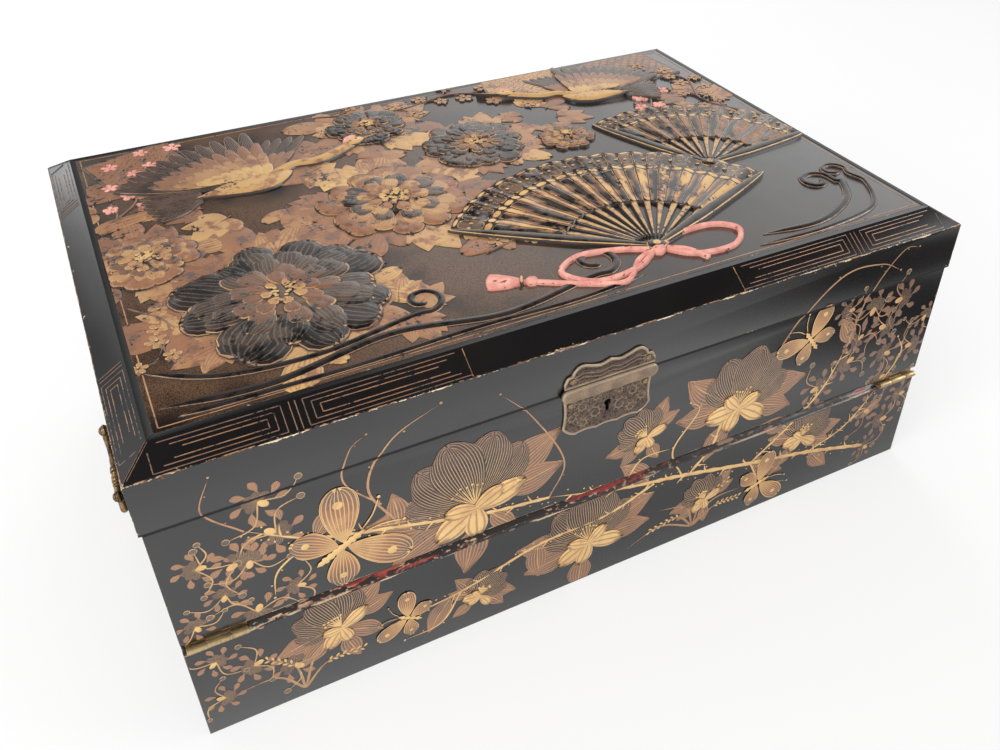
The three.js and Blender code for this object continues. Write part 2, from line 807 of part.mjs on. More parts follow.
// The bail hangs below an axis along Y at the origin: a turned grip, two arms and two pintles.
function bail() {
  const ballInner = postSpacing / 2 - postBallRadius;
  const eyeY = ballInner - bailEyeGap - bailEyeRadius;
  const cornerY = postSpacing / 2 - bailRodRadius;
  const gripEnd = cornerY - bailCornerRadius;
  const turned = [];
  const centreBeads = [[0, beadRadius], [1.2, beadRadius], [2.2, 2.6], [3.2, beadRadius - 0.2]];
  const outerBeads = [[4.4, beadRadius - 0.2], [5.4, 2.6], [6.6, 3.1], [7.8, 2.5], [9, 2.9], [9.8, 2.9], [10.6, 2]];
  const half = [...centreBeads, ...outerBeads, [gripEnd * 0.8, bailRodRadius + 0.3], [gripEnd, bailRodRadius]];
  turned.push(new THREE.Vector2(0, -gripEnd));
  for (const [along, radius] of half.slice(1).reverse()) {
    turned.push(new THREE.Vector2(radius, -along));
  }
  for (const [along, radius] of half) {
    turned.push(new THREE.Vector2(radius, along));
  }
  turned.push(new THREE.Vector2(0, gripEnd));
  const grip = new THREE.LatheGeometry(turned, 12).translate(0, 0, -bailDrop);
  const pieces = [grip];
  for (const side of [-1, 1]) {
    const path = new THREE.CatmullRomCurve3([
      new THREE.Vector3(0, side * eyeY, 0.6),
      new THREE.Vector3(0, side * (eyeY + 0.3), -2.4),
      new THREE.Vector3(0, side * (cornerY - 1.2), -bailDrop + bailCornerRadius + 1.4),
      new THREE.Vector3(0, side * (cornerY - 0.5), -bailDrop + bailCornerRadius * 0.6),
      new THREE.Vector3(0, side * (cornerY - bailCornerRadius * 0.45), -bailDrop + 0.5),
      new THREE.Vector3(0, side * (gripEnd - 1), -bailDrop),
    ]);
    const section = new THREE.Shape();
    section.absarc(0, 0, bailEyeRadius, 0, Math.PI * 2, false);
    const arm = new THREE.ExtrudeGeometry(section, { steps: 12, curveSegments: 4, extrudePath: path });
    const eye = new THREE.SphereGeometry(bailEyeRadius, 10, 6).translate(0, side * eyeY, 0);
    const pintleLength = postSpacing / 2 - eyeY;
    const pintle = new THREE.CylinderGeometry(pintleRadius, pintleRadius, pintleLength, 10);
    pintle.translate(0, side * (eyeY + pintleLength / 2), 0);
    pieces.push(arm, eye, pintle);
  }
  return join(...pieces);
}

function handles() {
  const group = new THREE.Group();
  for (const side of [-1, 1]) {
    const name = side < 0 ? 'left' : 'right';
    const handle = new THREE.Group();
    for (const place of ['front', 'back']) {
      const post = piece(`handle_post_${name}_${place}`, handlePost(), agedBrass);
      post.position.y = (place === 'front' ? -side : side) * postSpacing / 2;
      handle.add(post);
    }
    const drop = piece(`bail_${name}`, bail(), agedBrass);
    drop.position.x = postReach;
    handle.add(drop);
    handle.position.set(side * halfWidth, 0, handleHeight);
    handle.rotation.z = side < 0 ? Math.PI : 0;
    group.add(handle);
  }
  return group;
}

const group = assembly(
  caseShell(),
  writingInterior(),
  rearFittings(),
  dropFront(),
  lid(),
  lock(),
  hinges(),
  handles(),
);

export default group;
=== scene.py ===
# %% [markdown]
# # A lacquer writing box
# The model of the box is already built and packed: its boards, hinges, lock and handles are at
# their real size, and each moves with the body it belongs to. This script gives them their looks.
# It loads that model first, because every new surface takes its place and size from it.
# %% Load the packed model
import math

import bmesh
import bpy
import numpy as np
from mathutils import Matrix, Vector


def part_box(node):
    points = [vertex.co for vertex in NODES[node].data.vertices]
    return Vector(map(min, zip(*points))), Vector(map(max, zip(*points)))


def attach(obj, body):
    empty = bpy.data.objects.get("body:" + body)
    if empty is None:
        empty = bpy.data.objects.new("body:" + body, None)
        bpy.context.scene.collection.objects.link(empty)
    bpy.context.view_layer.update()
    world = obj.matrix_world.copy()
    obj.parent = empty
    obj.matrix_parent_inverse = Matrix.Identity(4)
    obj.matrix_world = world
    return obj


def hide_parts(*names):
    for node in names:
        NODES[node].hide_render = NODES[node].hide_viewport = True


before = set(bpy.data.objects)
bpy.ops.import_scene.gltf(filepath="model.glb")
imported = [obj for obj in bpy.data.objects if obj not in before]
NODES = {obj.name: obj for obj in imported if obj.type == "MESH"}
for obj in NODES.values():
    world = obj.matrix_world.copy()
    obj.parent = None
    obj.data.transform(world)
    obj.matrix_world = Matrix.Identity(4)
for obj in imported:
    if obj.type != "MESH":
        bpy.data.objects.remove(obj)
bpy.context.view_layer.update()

MM = 0.001
scene = bpy.context.scene
scene.view_settings.view_transform = "Standard"
print("pieces in the packed model:", len(NODES))

# %% [markdown]
# ## The camera
# The photograph was taken from the front left, looking down. Its place and lens were worked out
# once from the box's straight edges. The rows below are the camera's right, up and backward
# directions. The shift puts the lens axis where the photograph has it.
# %% Camera
CAMERA_PLACE = (-0.1958, -0.4431, 0.4258)
CAMERA_RIGHT = (0.8884, -0.45906, 0.00389)
CAMERA_UP = (0.26673, 0.52305, 0.80949)
CAMERA_BACK = (-0.37364, -0.71811, 0.58712)
FOCAL_PIXELS = 960.4
PICTURE_WIDTH, PICTURE_HEIGHT = 1000, 750
AXIS_PIXEL = (537.2, 324.8)
SENSOR = 36.0

lens = bpy.data.cameras.new("camera")
lens.sensor_width = SENSOR
lens.lens = FOCAL_PIXELS * SENSOR / PICTURE_WIDTH
lens.shift_x = (PICTURE_WIDTH / 2 - AXIS_PIXEL[0]) / PICTURE_WIDTH
lens.shift_y = (AXIS_PIXEL[1] - PICTURE_HEIGHT / 2) / PICTURE_WIDTH
lens.clip_start = 0.01
camera = bpy.data.objects.new("camera", lens)
turn = Matrix((CAMERA_RIGHT, CAMERA_UP, CAMERA_BACK)).transposed().to_4x4()
camera.matrix_world = Matrix.Translation(CAMERA_PLACE) @ turn
scene.collection.objects.link(camera)
scene.camera = camera
print("lens", round(lens.lens, 2), "mm, shift", round(lens.shift_x, 4), round(lens.shift_y, 4))

# %% [markdown]
# ## Writing shader maths
# A finish is a small program of nodes. A `Wire` is one value in it, so that `1 - mask` or `a * b`
# adds the Math nodes by itself.
# %% Wire


def feed(tree, socket, value):
    """Links a Wire to a socket, or sets the socket to a number or to a colour of three numbers."""
    if isinstance(value, Wire):
        tree.links.new(value.socket, socket)
    elif socket.type == "RGBA":
        socket.default_value = (*value, 1.0)
    else:
        socket.default_value = value


def operation(kind, swapped=False):
    """A method that joins a Wire, and perhaps another value, with one Math node."""

    def method(wire, *others):
        made = wire.tree.nodes.new("ShaderNodeMath")
        made.operation = kind
        values = (wire, *others)[::-1] if swapped else (wire, *others)
        for socket, value in zip(made.inputs, values):
            feed(wire.tree, socket, value)
        return Wire(wire.tree, made.outputs[0])

    return method


class Wire:
    """A value in a node tree. Arithmetic on it adds Math nodes."""

    def __init__(self, tree, socket):
        self.tree = tree
        self.socket = socket

    __add__ = __radd__ = operation("ADD")
    __mul__ = __rmul__ = operation("MULTIPLY")
    __sub__ = operation("SUBTRACT")
    __rsub__ = operation("SUBTRACT", swapped=True)
    __pow__ = operation("POWER")
    least = operation("MINIMUM")
    most = operation("MAXIMUM")
    size = operation("ABSOLUTE")
    sine = operation("SINE")
    part = operation("FRACT")

    def step(self, low, high):
        """0 below low, 1 above high, smooth between them. High may be the smaller one."""
        made = self.tree.nodes.new("ShaderNodeMapRange")
        made.interpolation_type = "SMOOTHSTEP"
        ends = (low, high, 0.0, 1.0) if low <= high else (high, low, 1.0, 0.0)
        for socket, value in zip(made.inputs, (self, *ends)):
            feed(self.tree, socket, value)
        return Wire(self.tree, made.outputs[0])


print("a Wire can", ", ".join(name for name in vars(Wire) if not name.startswith("__")))

# %% [markdown]
# ## Finish
# `Finish` makes one material, or the world, round its own shader. One method, `node`, adds any other
# node, and the rest are short names for the ones that come up most.
# %% Finish


class Finish:
    """A material or a world under construction, around one shader."""

    def __init__(self, name, world=False):
        self.owner = (bpy.data.worlds if world else bpy.data.materials).new(name)
        self.owner.use_nodes = True
        self.tree = self.owner.node_tree
        self.shader = self.tree.nodes["Background" if world else "Principled BSDF"]

    def node(self, kind, inputs=None, output=0, **settings):
        """Adds a node of a kind, sets its settings first, then the values or links of its sockets."""
        made = self.tree.nodes.new("ShaderNode" + kind)
        for key, value in settings.items():
            setattr(made, key, value)
        for key, value in (inputs or {}).items():
            feed(self.tree, made.inputs[key], value)
        return Wire(self.tree, made.outputs[output])

    def place(self):
        """Where a point is on the object, in metres."""
        return self.node("TexCoord", output=3)

    def axis(self, number, vector=None):
        """One part of a vector: 0, 1 or 2 for x, y or z."""
        return self.node("SeparateXYZ", {0: vector or self.place()}, output=number)

    def noise(self, scale, detail, rough=0.55, stretch=None):
        """Smooth random values round 0.5, with a scale in lumps per metre."""
        vector = self.place()
        if stretch:
            vector = self.node("Mapping", {"Vector": vector, "Scale": stretch})
        inputs = {"Vector": vector, "Scale": scale, "Detail": detail, "Roughness": rough}
        return self.node("TexNoise", inputs)

    def mix(self, factor, first, second):
        """A colour between two colours."""
        return self.node("Mix", {0: factor, 6: first, 7: second}, output=2, data_type="RGBA")

    def ramp(self, factor, stops):
        """The colour of a ramp at a factor. Its stops are places and colours."""
        color = self.node("ValToRGB", {0: factor})
        elements = color.socket.node.color_ramp.elements
        while len(elements) < len(stops):
            elements.new(0.5)
        for element, (place, level) in zip(elements, stops):
            element.position = place
            element.color = (*level, 1.0)
        return color

    def bump(self, height, strength, distance, **under):
        """A normal that leans with a height."""
        inputs = {"Height": height, "Strength": strength, "Distance": distance}
        return self.node("Bump", dict(inputs, **under))

    def set(self, **values):
        """Sets the shader's own sockets, named with underscores for spaces."""
        for key, value in values.items():
            feed(self.tree, self.shader.inputs[key.replace("_", " ")], value)
        return self


print("a Finish can", ", ".join(name for name in vars(Finish) if not name.startswith("__")))

# %% [markdown]
# ## The floor
# The box stands on a white sweep. The lacquer is a black mirror, so what it reflects is most of what
# the eye sees. The front mirrors the floor and turns grey. The floor's glow that only mirrors see has
# painted shade round the box's foot and in front of its right end, where the studio floor was darker.
# %% Floor
FLOOR_HALF = 6.0
FLOOR_DROP = 0.0004
FLOOR_WHITE = (0.92, 0.92, 0.92)
FLOOR_DARK = (0.07, 0.07, 0.07)
OWN_LIGHT = 0.62
# Where the painted dark patch in the floor's glow lies and how far it reaches; how far the painted shadow
# round the box reaches.
DARK_PLACE = (0.46, -0.36)
DARK_REACH = (0.36, 0.08)
BOX_HALF = (0.215, 0.146)
FOOT_REACH = (0.14, 0.01)


def make_floor():
    """A flat square. The camera sees mostly its own light, which looks white, and a part of the lamps'
    light, which keeps the box's soft shadow. Mirrors see only its own light, darkened by painted shade:
    a painted shadow round the base of the box and a painted dark patch in front of its right end."""
    corners = [(-1, -1), (1, -1), (1, 1), (-1, 1)]
    mesh = bpy.data.meshes.new("floor")
    points = [(x * FLOOR_HALF, y * FLOOR_HALF, -FLOOR_DROP) for x, y in corners]
    mesh.from_pydata(points, [], [(0, 1, 2, 3)])
    floor = bpy.data.objects.new("floor", mesh)
    scene.collection.objects.link(floor)
    paint = Finish("floor_white")
    paint.set(Base_Color=(0.86, 0.86, 0.86), Roughness=0.9, Specular_IOR_Level=0.0)
    x, y = paint.axis(0), paint.axis(1)
    camera_ray, mirror_ray, through_ray = (paint.node("LightPath", output=kind) for kind in (0, 3, 6))
    away = ((x - DARK_PLACE[0]) ** 2 + (y - DARK_PLACE[1]) ** 2) ** 0.5
    outside = (x.size() - BOX_HALF[0]).most(y.size() - BOX_HALF[1])
    # Painted shadow round the box's foot, stronger to the right.
    painted_foot_shadow = outside.step(*FOOT_REACH) * (x.step(-0.22, 0.1) * 0.32 + 0.3)
    # Painted shade for mirrors: the foot's painted shadow and a painted dark patch at the right end.
    dark = away.step(*DARK_REACH).most(painted_foot_shadow) * mirror_ray
    glow = paint.node("Emission", {"Color": paint.mix(dark, FLOOR_WHITE, FLOOR_DARK)})
    share = camera_ray.most(mirror_ray).most(through_ray) * OWN_LIGHT
    share = share + (1 - share) * mirror_ray
    plain = Wire(paint.tree, paint.shader.outputs[0])
    mixed = paint.node("MixShader", {0: share, 1: plain, 2: glow})
    paint.tree.links.new(mixed.socket, paint.tree.nodes["Material Output"].inputs[0])
    mesh.materials.append(paint.owner)


make_floor()
print("floor ready")

# %% [markdown]
# ## The room and the lamps
# The top of the box mirrors the upper part of the studio. The world is therefore pale near the horizon
# and dark above, with a dark part at the back, and white where the camera looks at it.
# %% World and lamps
CEILING = (0.86, 0.56)
WALL_LEVEL = 0.6
CEILING_LEVEL = 0.05
SOFT_LEVEL = 0.62


def make_world():
    """White for the camera, soft and even for the light on dull surfaces. For mirrors a wall whose
    level falls from the wall's to the ceiling's, times one factor for each part that is darker or
    brighter: the back, the corner and far corner at the left, the right, and high up at the right."""
    sky = Finish("studio", world=True)
    scene.world = sky.owner
    x, y, z = (sky.axis(number, sky.node("TexCoord", output=0)) for number in range(3))
    camera_ray, glossy_ray, through_ray = (sky.node("LightPath", output=kind) for kind in (0, 3, 6))
    back = x.size().step(0.32, 0.0) * y.step(0.2, 0.6)
    low_left = z.step(0.42, 0.25) * y.step(0.4, 0.7)
    wall = z.step(*CEILING) * (WALL_LEVEL - CEILING_LEVEL) + CEILING_LEVEL
    wall = wall * (1 - back * 0.82) * (1 - low_left * x.step(-0.15, -0.4) * 0.5)
    wall = wall * (1 - low_left * x.step(-0.4, -0.5) * 0.4) * (1 + x.step(0.12, 0.4) * 0.3)
    wall = wall * (1 - x.step(0.3, 0.5) * z.step(0.64, 0.76) * 0.75)
    mirror_ray = glossy_ray.most(through_ray)
    level = mirror_ray * wall + (1 - mirror_ray) * SOFT_LEVEL
    sky.set(Color=(1, 1, 1), Strength=camera_ray + (1 - camera_ray) * level)


# Each lamp has a place, the height it points at, its two widths, its watts, and whether mirrors see it.
LAMPS = {
    "key_lamp": ((-1.1, -0.9, 1.3), 0.08, (1.6, 1.6), 29, False),
    "fill_lamp": ((1.3, -0.7, 0.8), 0.08, (0.8, 0.8), 6, True),
    "glint_lamp": ((-1.4, -0.3, 1.0), 0.08, (0.35, 0.35), 3, True),
    "back_lamp": ((0.2, 1.4, 1.1), 0.1, (1.2, 0.5), 12, False),
}

make_world()
for name, (place, target, widths, watts, mirrored) in LAMPS.items():
    lamp = bpy.data.lights.new(name, "AREA")
    lamp.shape = "RECTANGLE"
    lamp.size, lamp.size_y = widths
    lamp.energy = watts
    holder = bpy.data.objects.new(name, lamp)
    aim = (Vector((0, 0, target)) - Vector(place)).to_track_quat("-Z", "Y")
    holder.matrix_world = Matrix.Translation(place) @ aim.to_matrix().to_4x4()
    holder.visible_glossy = mirrored
    scene.collection.objects.link(holder)
print("lamps:", ", ".join(LAMPS))

# %% [markdown]
# ## Colours and copies of the model's boards
# Colours are easier to judge as screen values, so `srgb` turns those into the linear values that
# Blender's sockets take. A board of the model is loose triangles. `merged_copy` welds them and
# dissolves the flat areas, so that a Bevel modifier finds only the real edges.
# %% Colours, new pieces and merged copies
WELD = 1e-6
FLAT_ANGLE = math.radians(1)
EDGE_ANGLE = math.radians(25)


def srgb(red, green, blue):
    """A screen colour of 0 to 255 as linear values, by the standard curve."""
    value = np.array((red, green, blue)) / 255
    linear = np.where(value < 0.04045, value / 12.92, ((value + 0.055) / 1.055) ** 2.4)
    return tuple(float(level) for level in linear)


def remade(name, sources, weld=True, flat=False, outward=False):
    """One new mesh from others: welded, with its flat areas dissolved, or with its faces turned out."""
    work = bmesh.new()
    for mesh in sources:
        work.from_mesh(mesh)
    if weld:
        bmesh.ops.remove_doubles(work, verts=work.verts, dist=WELD)
    if flat:
        bmesh.ops.dissolve_limit(work, angle_limit=FLAT_ANGLE, verts=work.verts, edges=work.edges)
    if outward:
        bmesh.ops.recalc_face_normals(work, faces=work.faces)
    result = bpy.data.meshes.new(name)
    work.to_mesh(result)
    work.free()
    return result


def merged_copy(node):
    """A welded copy of a node's mesh, with each flat area one face."""
    return remade(node + "_copy", [NODES[node].data], flat=True)


def put(mesh):
    """A new object that shows a mesh. It drops the number that Blender gives to a name already taken."""
    thing = bpy.data.objects.new(mesh.name.split(".")[0], mesh)
    scene.collection.objects.link(thing)
    return thing


def add_piece(mesh, finish, body, smooth=True, stands_for=()):
    """Puts a finished mesh in the scene, gives it its finish and lets it ride on a body. It may stand
    for nodes of the model."""
    thing = put(mesh)
    mesh.materials.clear()
    mesh.materials.append(finish.owner)
    mesh.polygons.foreach_set("use_smooth", np.full(len(mesh.polygons), smooth))
    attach(thing, body)
    if stands_for:
        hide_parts(*stands_for)
    return thing


print("linear white:", srgb(255, 255, 255))

# %% [markdown]
# ## Bevels and Booleans
# Both are modifiers, and both are applied here, so that a piece is a plain mesh in the end.
# %% Rounded boards


def with_modifiers(mesh, name, steps):
    """The mesh after a list of modifiers, each a type and its settings, has been applied."""
    thing = put(mesh)
    for kind, settings in steps:
        modifier = thing.modifiers.new(kind, kind)
        for key, value in settings.items():
            setattr(modifier, key, value)
    view_layer = bpy.context.evaluated_depsgraph_get()
    result = bpy.data.meshes.new_from_object(thing.evaluated_get(view_layer))
    result.name = name
    bpy.data.objects.remove(thing)
    return result


def combined(mesh, name, others, how):
    """The mesh after an exact Boolean, a union or a difference, with each of the others in turn."""
    cutters = [put(other) for other in others]
    steps = [("BOOLEAN", {"operation": how, "solver": "EXACT", "object": cutter}) for cutter in cutters]
    result = with_modifiers(mesh, name, steps)
    for cutter in cutters:
        bpy.data.objects.remove(cutter)
    return result


def board(name, nodes, finish, body, width):
    """A piece that stands for one node, or for several joined to one without inner faces. A Bevel of
    that width in millimetres rounds its edges."""
    mesh, *others = [merged_copy(node) for node in nodes]
    if others:
        mesh = remade(name, [combined(mesh, name, others, "UNION")], flat=True)
    settings = {"width": width * MM, "segments": 3, "limit_method": "ANGLE", "angle_limit": EDGE_ANGLE}
    settings.update(use_clamp_overlap=True, harden_normals=True)
    mesh.polygons.foreach_set("use_smooth", np.full(len(mesh.polygons), True))
    thing = add_piece(with_modifiers(mesh, name, [("BEVEL", settings)]), finish, body, True, nodes)
    print(name, "has", len(thing.data.polygons), "faces")


print("boards can be rounded to", round(math.degrees(EDGE_ANGLE)), "degree edges")

# %% [markdown]
# ## Black lacquer
# Real lacquer is dozens of thin black coats, rubbed to a soft shine. It wears first along its edges,
# where brown primer shows. The distance to a box's nearest edge is the second smallest of the
# distances to its planes, so one formula finds all twelve edges.
# %% Lacquer with worn edges
BLACK = srgb(17, 15, 15)
PRIMER = srgb(104, 72, 48)
PALE_WEAR_AND_HIGHLIGHT = srgb(214, 194, 162)
RED_GROUND = srgb(134, 34, 26)


def box_edge(finish, low, high):
    """Distance in millimetres to the nearest edge of a box whose corners are given in millimetres."""
    away = []
    for axis in range(3):
        place = finish.axis(axis) * 1000
        away.append((place - low[axis]).size().least((high[axis] - place).size()))
    x, y, z = away
    return x.least(y).most(x.most(y).least(z))


def groove(finish, color, worn, grain, split):
    """The wear along the groove at the height split: brown and red primer in it, bare wood and specks
    on its slopes and pale chips along its lips, partly a painted highlight, all weaker to the right.
    Gives the colour and the wear."""
    away = (finish.axis(2) * 1000 - split).size()
    front = (finish.axis(1) * 1000).step(-141, -143)
    left = finish.axis(0).step(0.1, -0.06) * 0.6 + 0.4
    near = (away + (grain - 0.5) * 3).step(4.2, 2.2) * front
    lip = ((away - 3.4).size() + (grain - 0.5) * 1.6).step(1.0, 0.35) * front
    streak = finish.noise(60, 4, stretch=(0.3, 1, 3))
    crumb = finish.noise(260, 4, stretch=(0.4, 1, 1.5))
    red = (streak + (crumb - 0.5) * 0.3 - 0.62 + left * 0.04).step(0, 0.03) * near
    brown = (finish.noise(120, 3, stretch=(0.25, 1, 4)) - 0.36).step(0, 0.08) * near
    bare = (finish.noise(75, 3, stretch=(0.3, 1, 2)) + (crumb - 0.5) * 0.5 - 0.57).step(0, 0.03)
    bare = bare * (away + (grain - 0.5) * 2).step(2.9, 2.1) * front * left
    # Pale chips along the lips: partly wear, partly painted highlight.
    chips = (finish.noise(170, 3, stretch=(0.2, 1, 3)) - 0.52).step(0, 0.05) * lip * left
    speck = (finish.noise(620, 3, stretch=(0.5, 1, 1)) + (streak - 0.5) * 0.5 - 0.6).step(0, 0.03) * near
    wood = finish.mix(crumb.step(0.4, 0.6), srgb(128, 88, 66), srgb(196, 158, 128))
    chip = finish.mix(streak.step(0.4, 0.6), srgb(146, 108, 78), PALE_WEAR_AND_HIGHLIGHT)
    color = finish.mix(brown, color, srgb(36, 26, 22))
    color = finish.mix(speck * left * 0.8, color, srgb(186, 152, 128))
    color = finish.mix(bare, color, wood)
    color = finish.mix(red * 0.85, color, RED_GROUND)
    color = finish.mix(chips, color, chip)
    return color, worn.most(brown * 0.8).most(red * 0.7).most(bare).most(chips).most(speck)


print("distance to a box's edges and the groove's wear: ready")

# %% [markdown]
# ## The four lacquers
# All boards share one function. The top alone is dusted with brown powder.
# %% Lacquers


def lacquer(name, low, high, wear, pale=0.0, split=None, dusted=False, seam=None):
    """Black lacquer on a board. Wear is how far the primer shows in from the edges, in millimetres. Pale
    makes more of the worn edge cream, which is partly worn ground and partly a painted edge highlight. A
    dusted board has clouds of brown powder in its ground, more of it to the left. A split is the height
    of the groove in the front, and a seam is a height where a thin dull dark line is painted: grime, and
    painted shade in the gap between lid and case."""
    finish = Finish(name)
    edge = box_edge(finish, low, high)
    patch = finish.noise(55, 4)
    grain = finish.noise(900, 3)
    reach = (patch - 0.44) * wear * 3.4 + (grain - 0.5) * wear * 2.4
    chip = (finish.noise(230, 2) - 0.7).step(0, 0.02) * (edge - 1.6).step(0.3, -0.3)
    worn = (reach - edge).step(-0.1, 0.1).most(chip)
    # Cream on the worn edges: partly worn ground, partly painted edge highlight.
    light = (finish.noise(120, 2) - (0.62 - pale)).step(-0.04, 0.04)
    ground = finish.mix(finish.noise(14, 3).step(0.35, 0.75), BLACK, srgb(24, 21, 20))
    color = finish.mix(worn, ground, finish.mix(light, PRIMER, PALE_WEAR_AND_HIGHLIGHT))
    if dusted:
        mist = finish.noise(13, 3).step(0.3, 0.56) * (finish.axis(0).step(0.1, -0.06) * 0.75 + 0.2)
        powder = (finish.noise(2400, 2) - 0.5 + mist * 0.1).step(0, 0.1) * 0.5 + 0.18
        color = finish.mix(powder * mist, color, srgb(118, 88, 66))
    if split:
        color, worn = groove(finish, color, worn, grain, split)
    if seam:
        # Seam line: grime and painted shade of the gap between lid and case, dark and without coat.
        darkening = ((finish.axis(2) * 1000 - seam).size() + (grain - 0.5) * 0.5).step(1.0, 0.8)
        color = finish.mix(darkening, color, srgb(9, 8, 8))
        worn = worn.most(darkening)
    scratch = finish.noise(700, 2, stretch=(1, 0.06, 0.06))
    rough = 0.15 + finish.noise(30, 3).step(0.3, 0.8) * 0.1 + worn * 0.35 + scratch.step(0.62, 0.7) * 0.06
    wave = finish.bump(finish.noise(26, 2), 0.35, 0.0006)
    normal = finish.bump(grain * 0.3 + scratch * 0.3 - worn * 2, 0.12, 0.0002, Normal=wave)
    finish.set(Base_Color=color, Roughness=rough, Normal=normal, IOR=1.5)
    return finish.set(Coat_Weight=1 - worn, Coat_Roughness=0.14, Coat_IOR=1.5)


CASE_BOX = (-215, -146, 0), (215, 146, 138.5)
FALL_BOX = (-215, -146, 64.4), (215, -134.3, 138)
LID_BOX = (-216.2, -147.2, 138.9), (216.2, 147.2, 165.8)
PANEL_BOX = (-200.4, -131.4, 165.8), (200.4, 131.4, 173.9)
SPLIT = 64.0
case_lacquer = lacquer("black_lacquer_case", *CASE_BOX, wear=0.6, split=SPLIT)
fall_lacquer = lacquer("black_lacquer_drop_front", *FALL_BOX, wear=0.6, split=SPLIT, seam=138)
# The lid's paler worn edges are partly a painted edge highlight.
lid_lacquer = lacquer("black_lacquer_lid", *LID_BOX, wear=0.8, pale=0.14, seam=138.9)
panel_lacquer = lacquer("black_lacquer_top", *PANEL_BOX, wear=0.5, dusted=True)
print("lacquers:", len(bpy.data.materials))

# %% [markdown]
# ## Case, drop front and lid boards
# The case is five boards under one skin of lacquer, so their copies are joined first and the joints
# vanish. The drop front keeps its lock mortise. The lid joins its four rails and its bevelled
# mouldings, whose thin mitre gaps stay open as they do on the old box.
# %% Boards
case_nodes = ["case_front_wall", "case_bottom", "case_left_wall", "case_right_wall", "case_back_wall"]
board("case_shell", case_nodes, case_lacquer, "case", 0.6)
board("drop_front_board", ["fall_panel"], fall_lacquer, "fall", 0.6)
sides = ("front", "right", "back", "left")
rails = ["lid_%s_rail" % side for side in sides]
mouldings = ["lid_bevel_%s" % side for side in sides]
board("lid_shell", rails + mouldings, lid_lacquer, "lid", 0.6)
board("lid_panel", ["lid_top_panel"], panel_lacquer, "lid", 0.3)

# %% [markdown]
# ## Sprinkled pictures
# The picture on such a box is drawn in wet lacquer and sprinkled with gold, silver and copper powder.
# The thick parts are built up first, so they stand out as low domes. `Picture` collects domed shapes
# as grids of points and makes one mesh of them. Every point carries numbers that the finish reads:
# its distance to the shape's edge, its tone from gold to black, its rim, its veins and its wear.
# %% Numbers at each point
GOLD, PALE, TAN, COPPER, SMOKE, DARK, LACQUER = 0.06, 0.2, 0.34, 0.52, 0.7, 0.88, 1.0
# What a point carries unless its shape says otherwise.
DEFAULTS = {"edge": 9, "tone": GOLD, "rim_width": 0, "rim": GOLD, "phase": 0.5, "vein": 0,
            "vein_tone": PALE, "gilt": 1.0}
SUNK = -0.12


def column(values):
    """Numbers as one row per shape, ready to be spread over each shape's grid."""
    return np.asarray(values, float).reshape(-1, 1, 1)


def edge_spaced(count, low, high):
    """Values from low to high that crowd at both ends, as half a cosine wave does."""
    return low + (high - low) * (0.5 - 0.5 * np.cos(np.linspace(0, math.pi, count)))


print("numbers at each point:", ", ".join(DEFAULTS))

# %% [markdown]
# ## Grids of points
# `grid` adds shapes, turns their faces outwards and may add a skirt. `mesh` lays all of them on a
# plane, cuts them off at a window and drops the faces that have shrunk to nothing.
# %% Picture


class Picture:
    """Domed shapes on a flat panel, in millimetres right, up and out of it. A skirt carries each
    shape's rim down into the panel."""

    def __init__(self, skirt=False):
        self.skirt = skirt
        self.points = []
        self.quads = []
        self.numbers = {key: [] for key in DEFAULTS}
        self.count = 0

    def grid(self, right, up, out, skirt=True, **numbers):
        """Adds shapes given as arrays of (shape, row, column)."""
        wanted = dict(DEFAULTS, **numbers)
        arrays = [np.asarray(array, float) for array in (right, up, out, *wanted.values())]
        right, up, out, *rest = np.broadcast_arrays(*arrays)
        if self.skirt and skirt:
            around = ((0, 0), (1, 1), (1, 1))
            right, up = np.pad(right, around, mode="edge"), np.pad(up, around, mode="edge")
            out = np.pad(out, around, constant_values=SUNK)
            rest = [np.pad(array, around, mode="edge") for array in rest]
        index = self.count + np.arange(right.size).reshape(right.shape)
        corners = [index[:, :-1, :-1], index[:, 1:, :-1], index[:, 1:, 1:], index[:, :-1, 1:]]
        quads = np.stack(corners, -1).reshape(len(right), -1, 4)
        flat = np.stack((right, up), -1)
        along = flat[:, 1:, 1:] - flat[:, :-1, :-1]
        across = flat[:, :-1, 1:] - flat[:, 1:, :-1]
        area = (along[..., 0] * across[..., 1] - along[..., 1] * across[..., 0]).sum((1, 2))
        quads[area < 0] = quads[area < 0][..., ::-1]
        self.quads.append(quads.reshape(-1, 4))
        self.points.append(np.stack((right, up, out), -1).reshape(-1, 3))
        for key, array in zip(wanted, rest):
            self.numbers[key].append(array.reshape(-1))
        self.count += right.size

    def mesh(self, name, plane, window):
        """The mesh on a plane (corner, right, up), cut off at a window (left, right, low, high)."""
        points = np.concatenate(self.points)
        quads = np.concatenate(self.quads)
        left, right, low, high = window
        x, y = points[:, 0], points[:, 1]
        outside = [values[quads].all(1) for values in (x <= left, x >= right, y <= low, y >= high)]
        quads = quads[~np.any(outside, 0)]
        points[:, 0] = np.clip(x, left, right)
        points[:, 1] = np.clip(y, low, high)
        corner, right_way, up_way = (np.array(part, float) for part in plane)
        axes = np.stack((right_way, up_way, np.cross(right_way, up_way)))
        placed = (corner + points @ axes) * MM
        diagonals = placed[quads[:, 2]] - placed[quads[:, 0]], placed[quads[:, 3]] - placed[quads[:, 1]]
        quads = quads[np.linalg.norm(np.cross(*diagonals), axis=1) > 1e-11]
        used, quads = np.unique(quads, return_inverse=True)
        mesh = bpy.data.meshes.new(name)
        mesh.from_pydata(placed[used], [], quads.reshape(-1, 4))
        for key, parts in self.numbers.items():
            values = np.concatenate(parts)[used].astype(np.float32)
            mesh.attributes.new(key, "FLOAT", "POINT").data.foreach_set("value", values)
        print(name, "has", len(mesh.polygons), "faces")
        return remade(name, [mesh])


print("a Picture can", ", ".join(name for name in vars(Picture) if not name.startswith("__")))

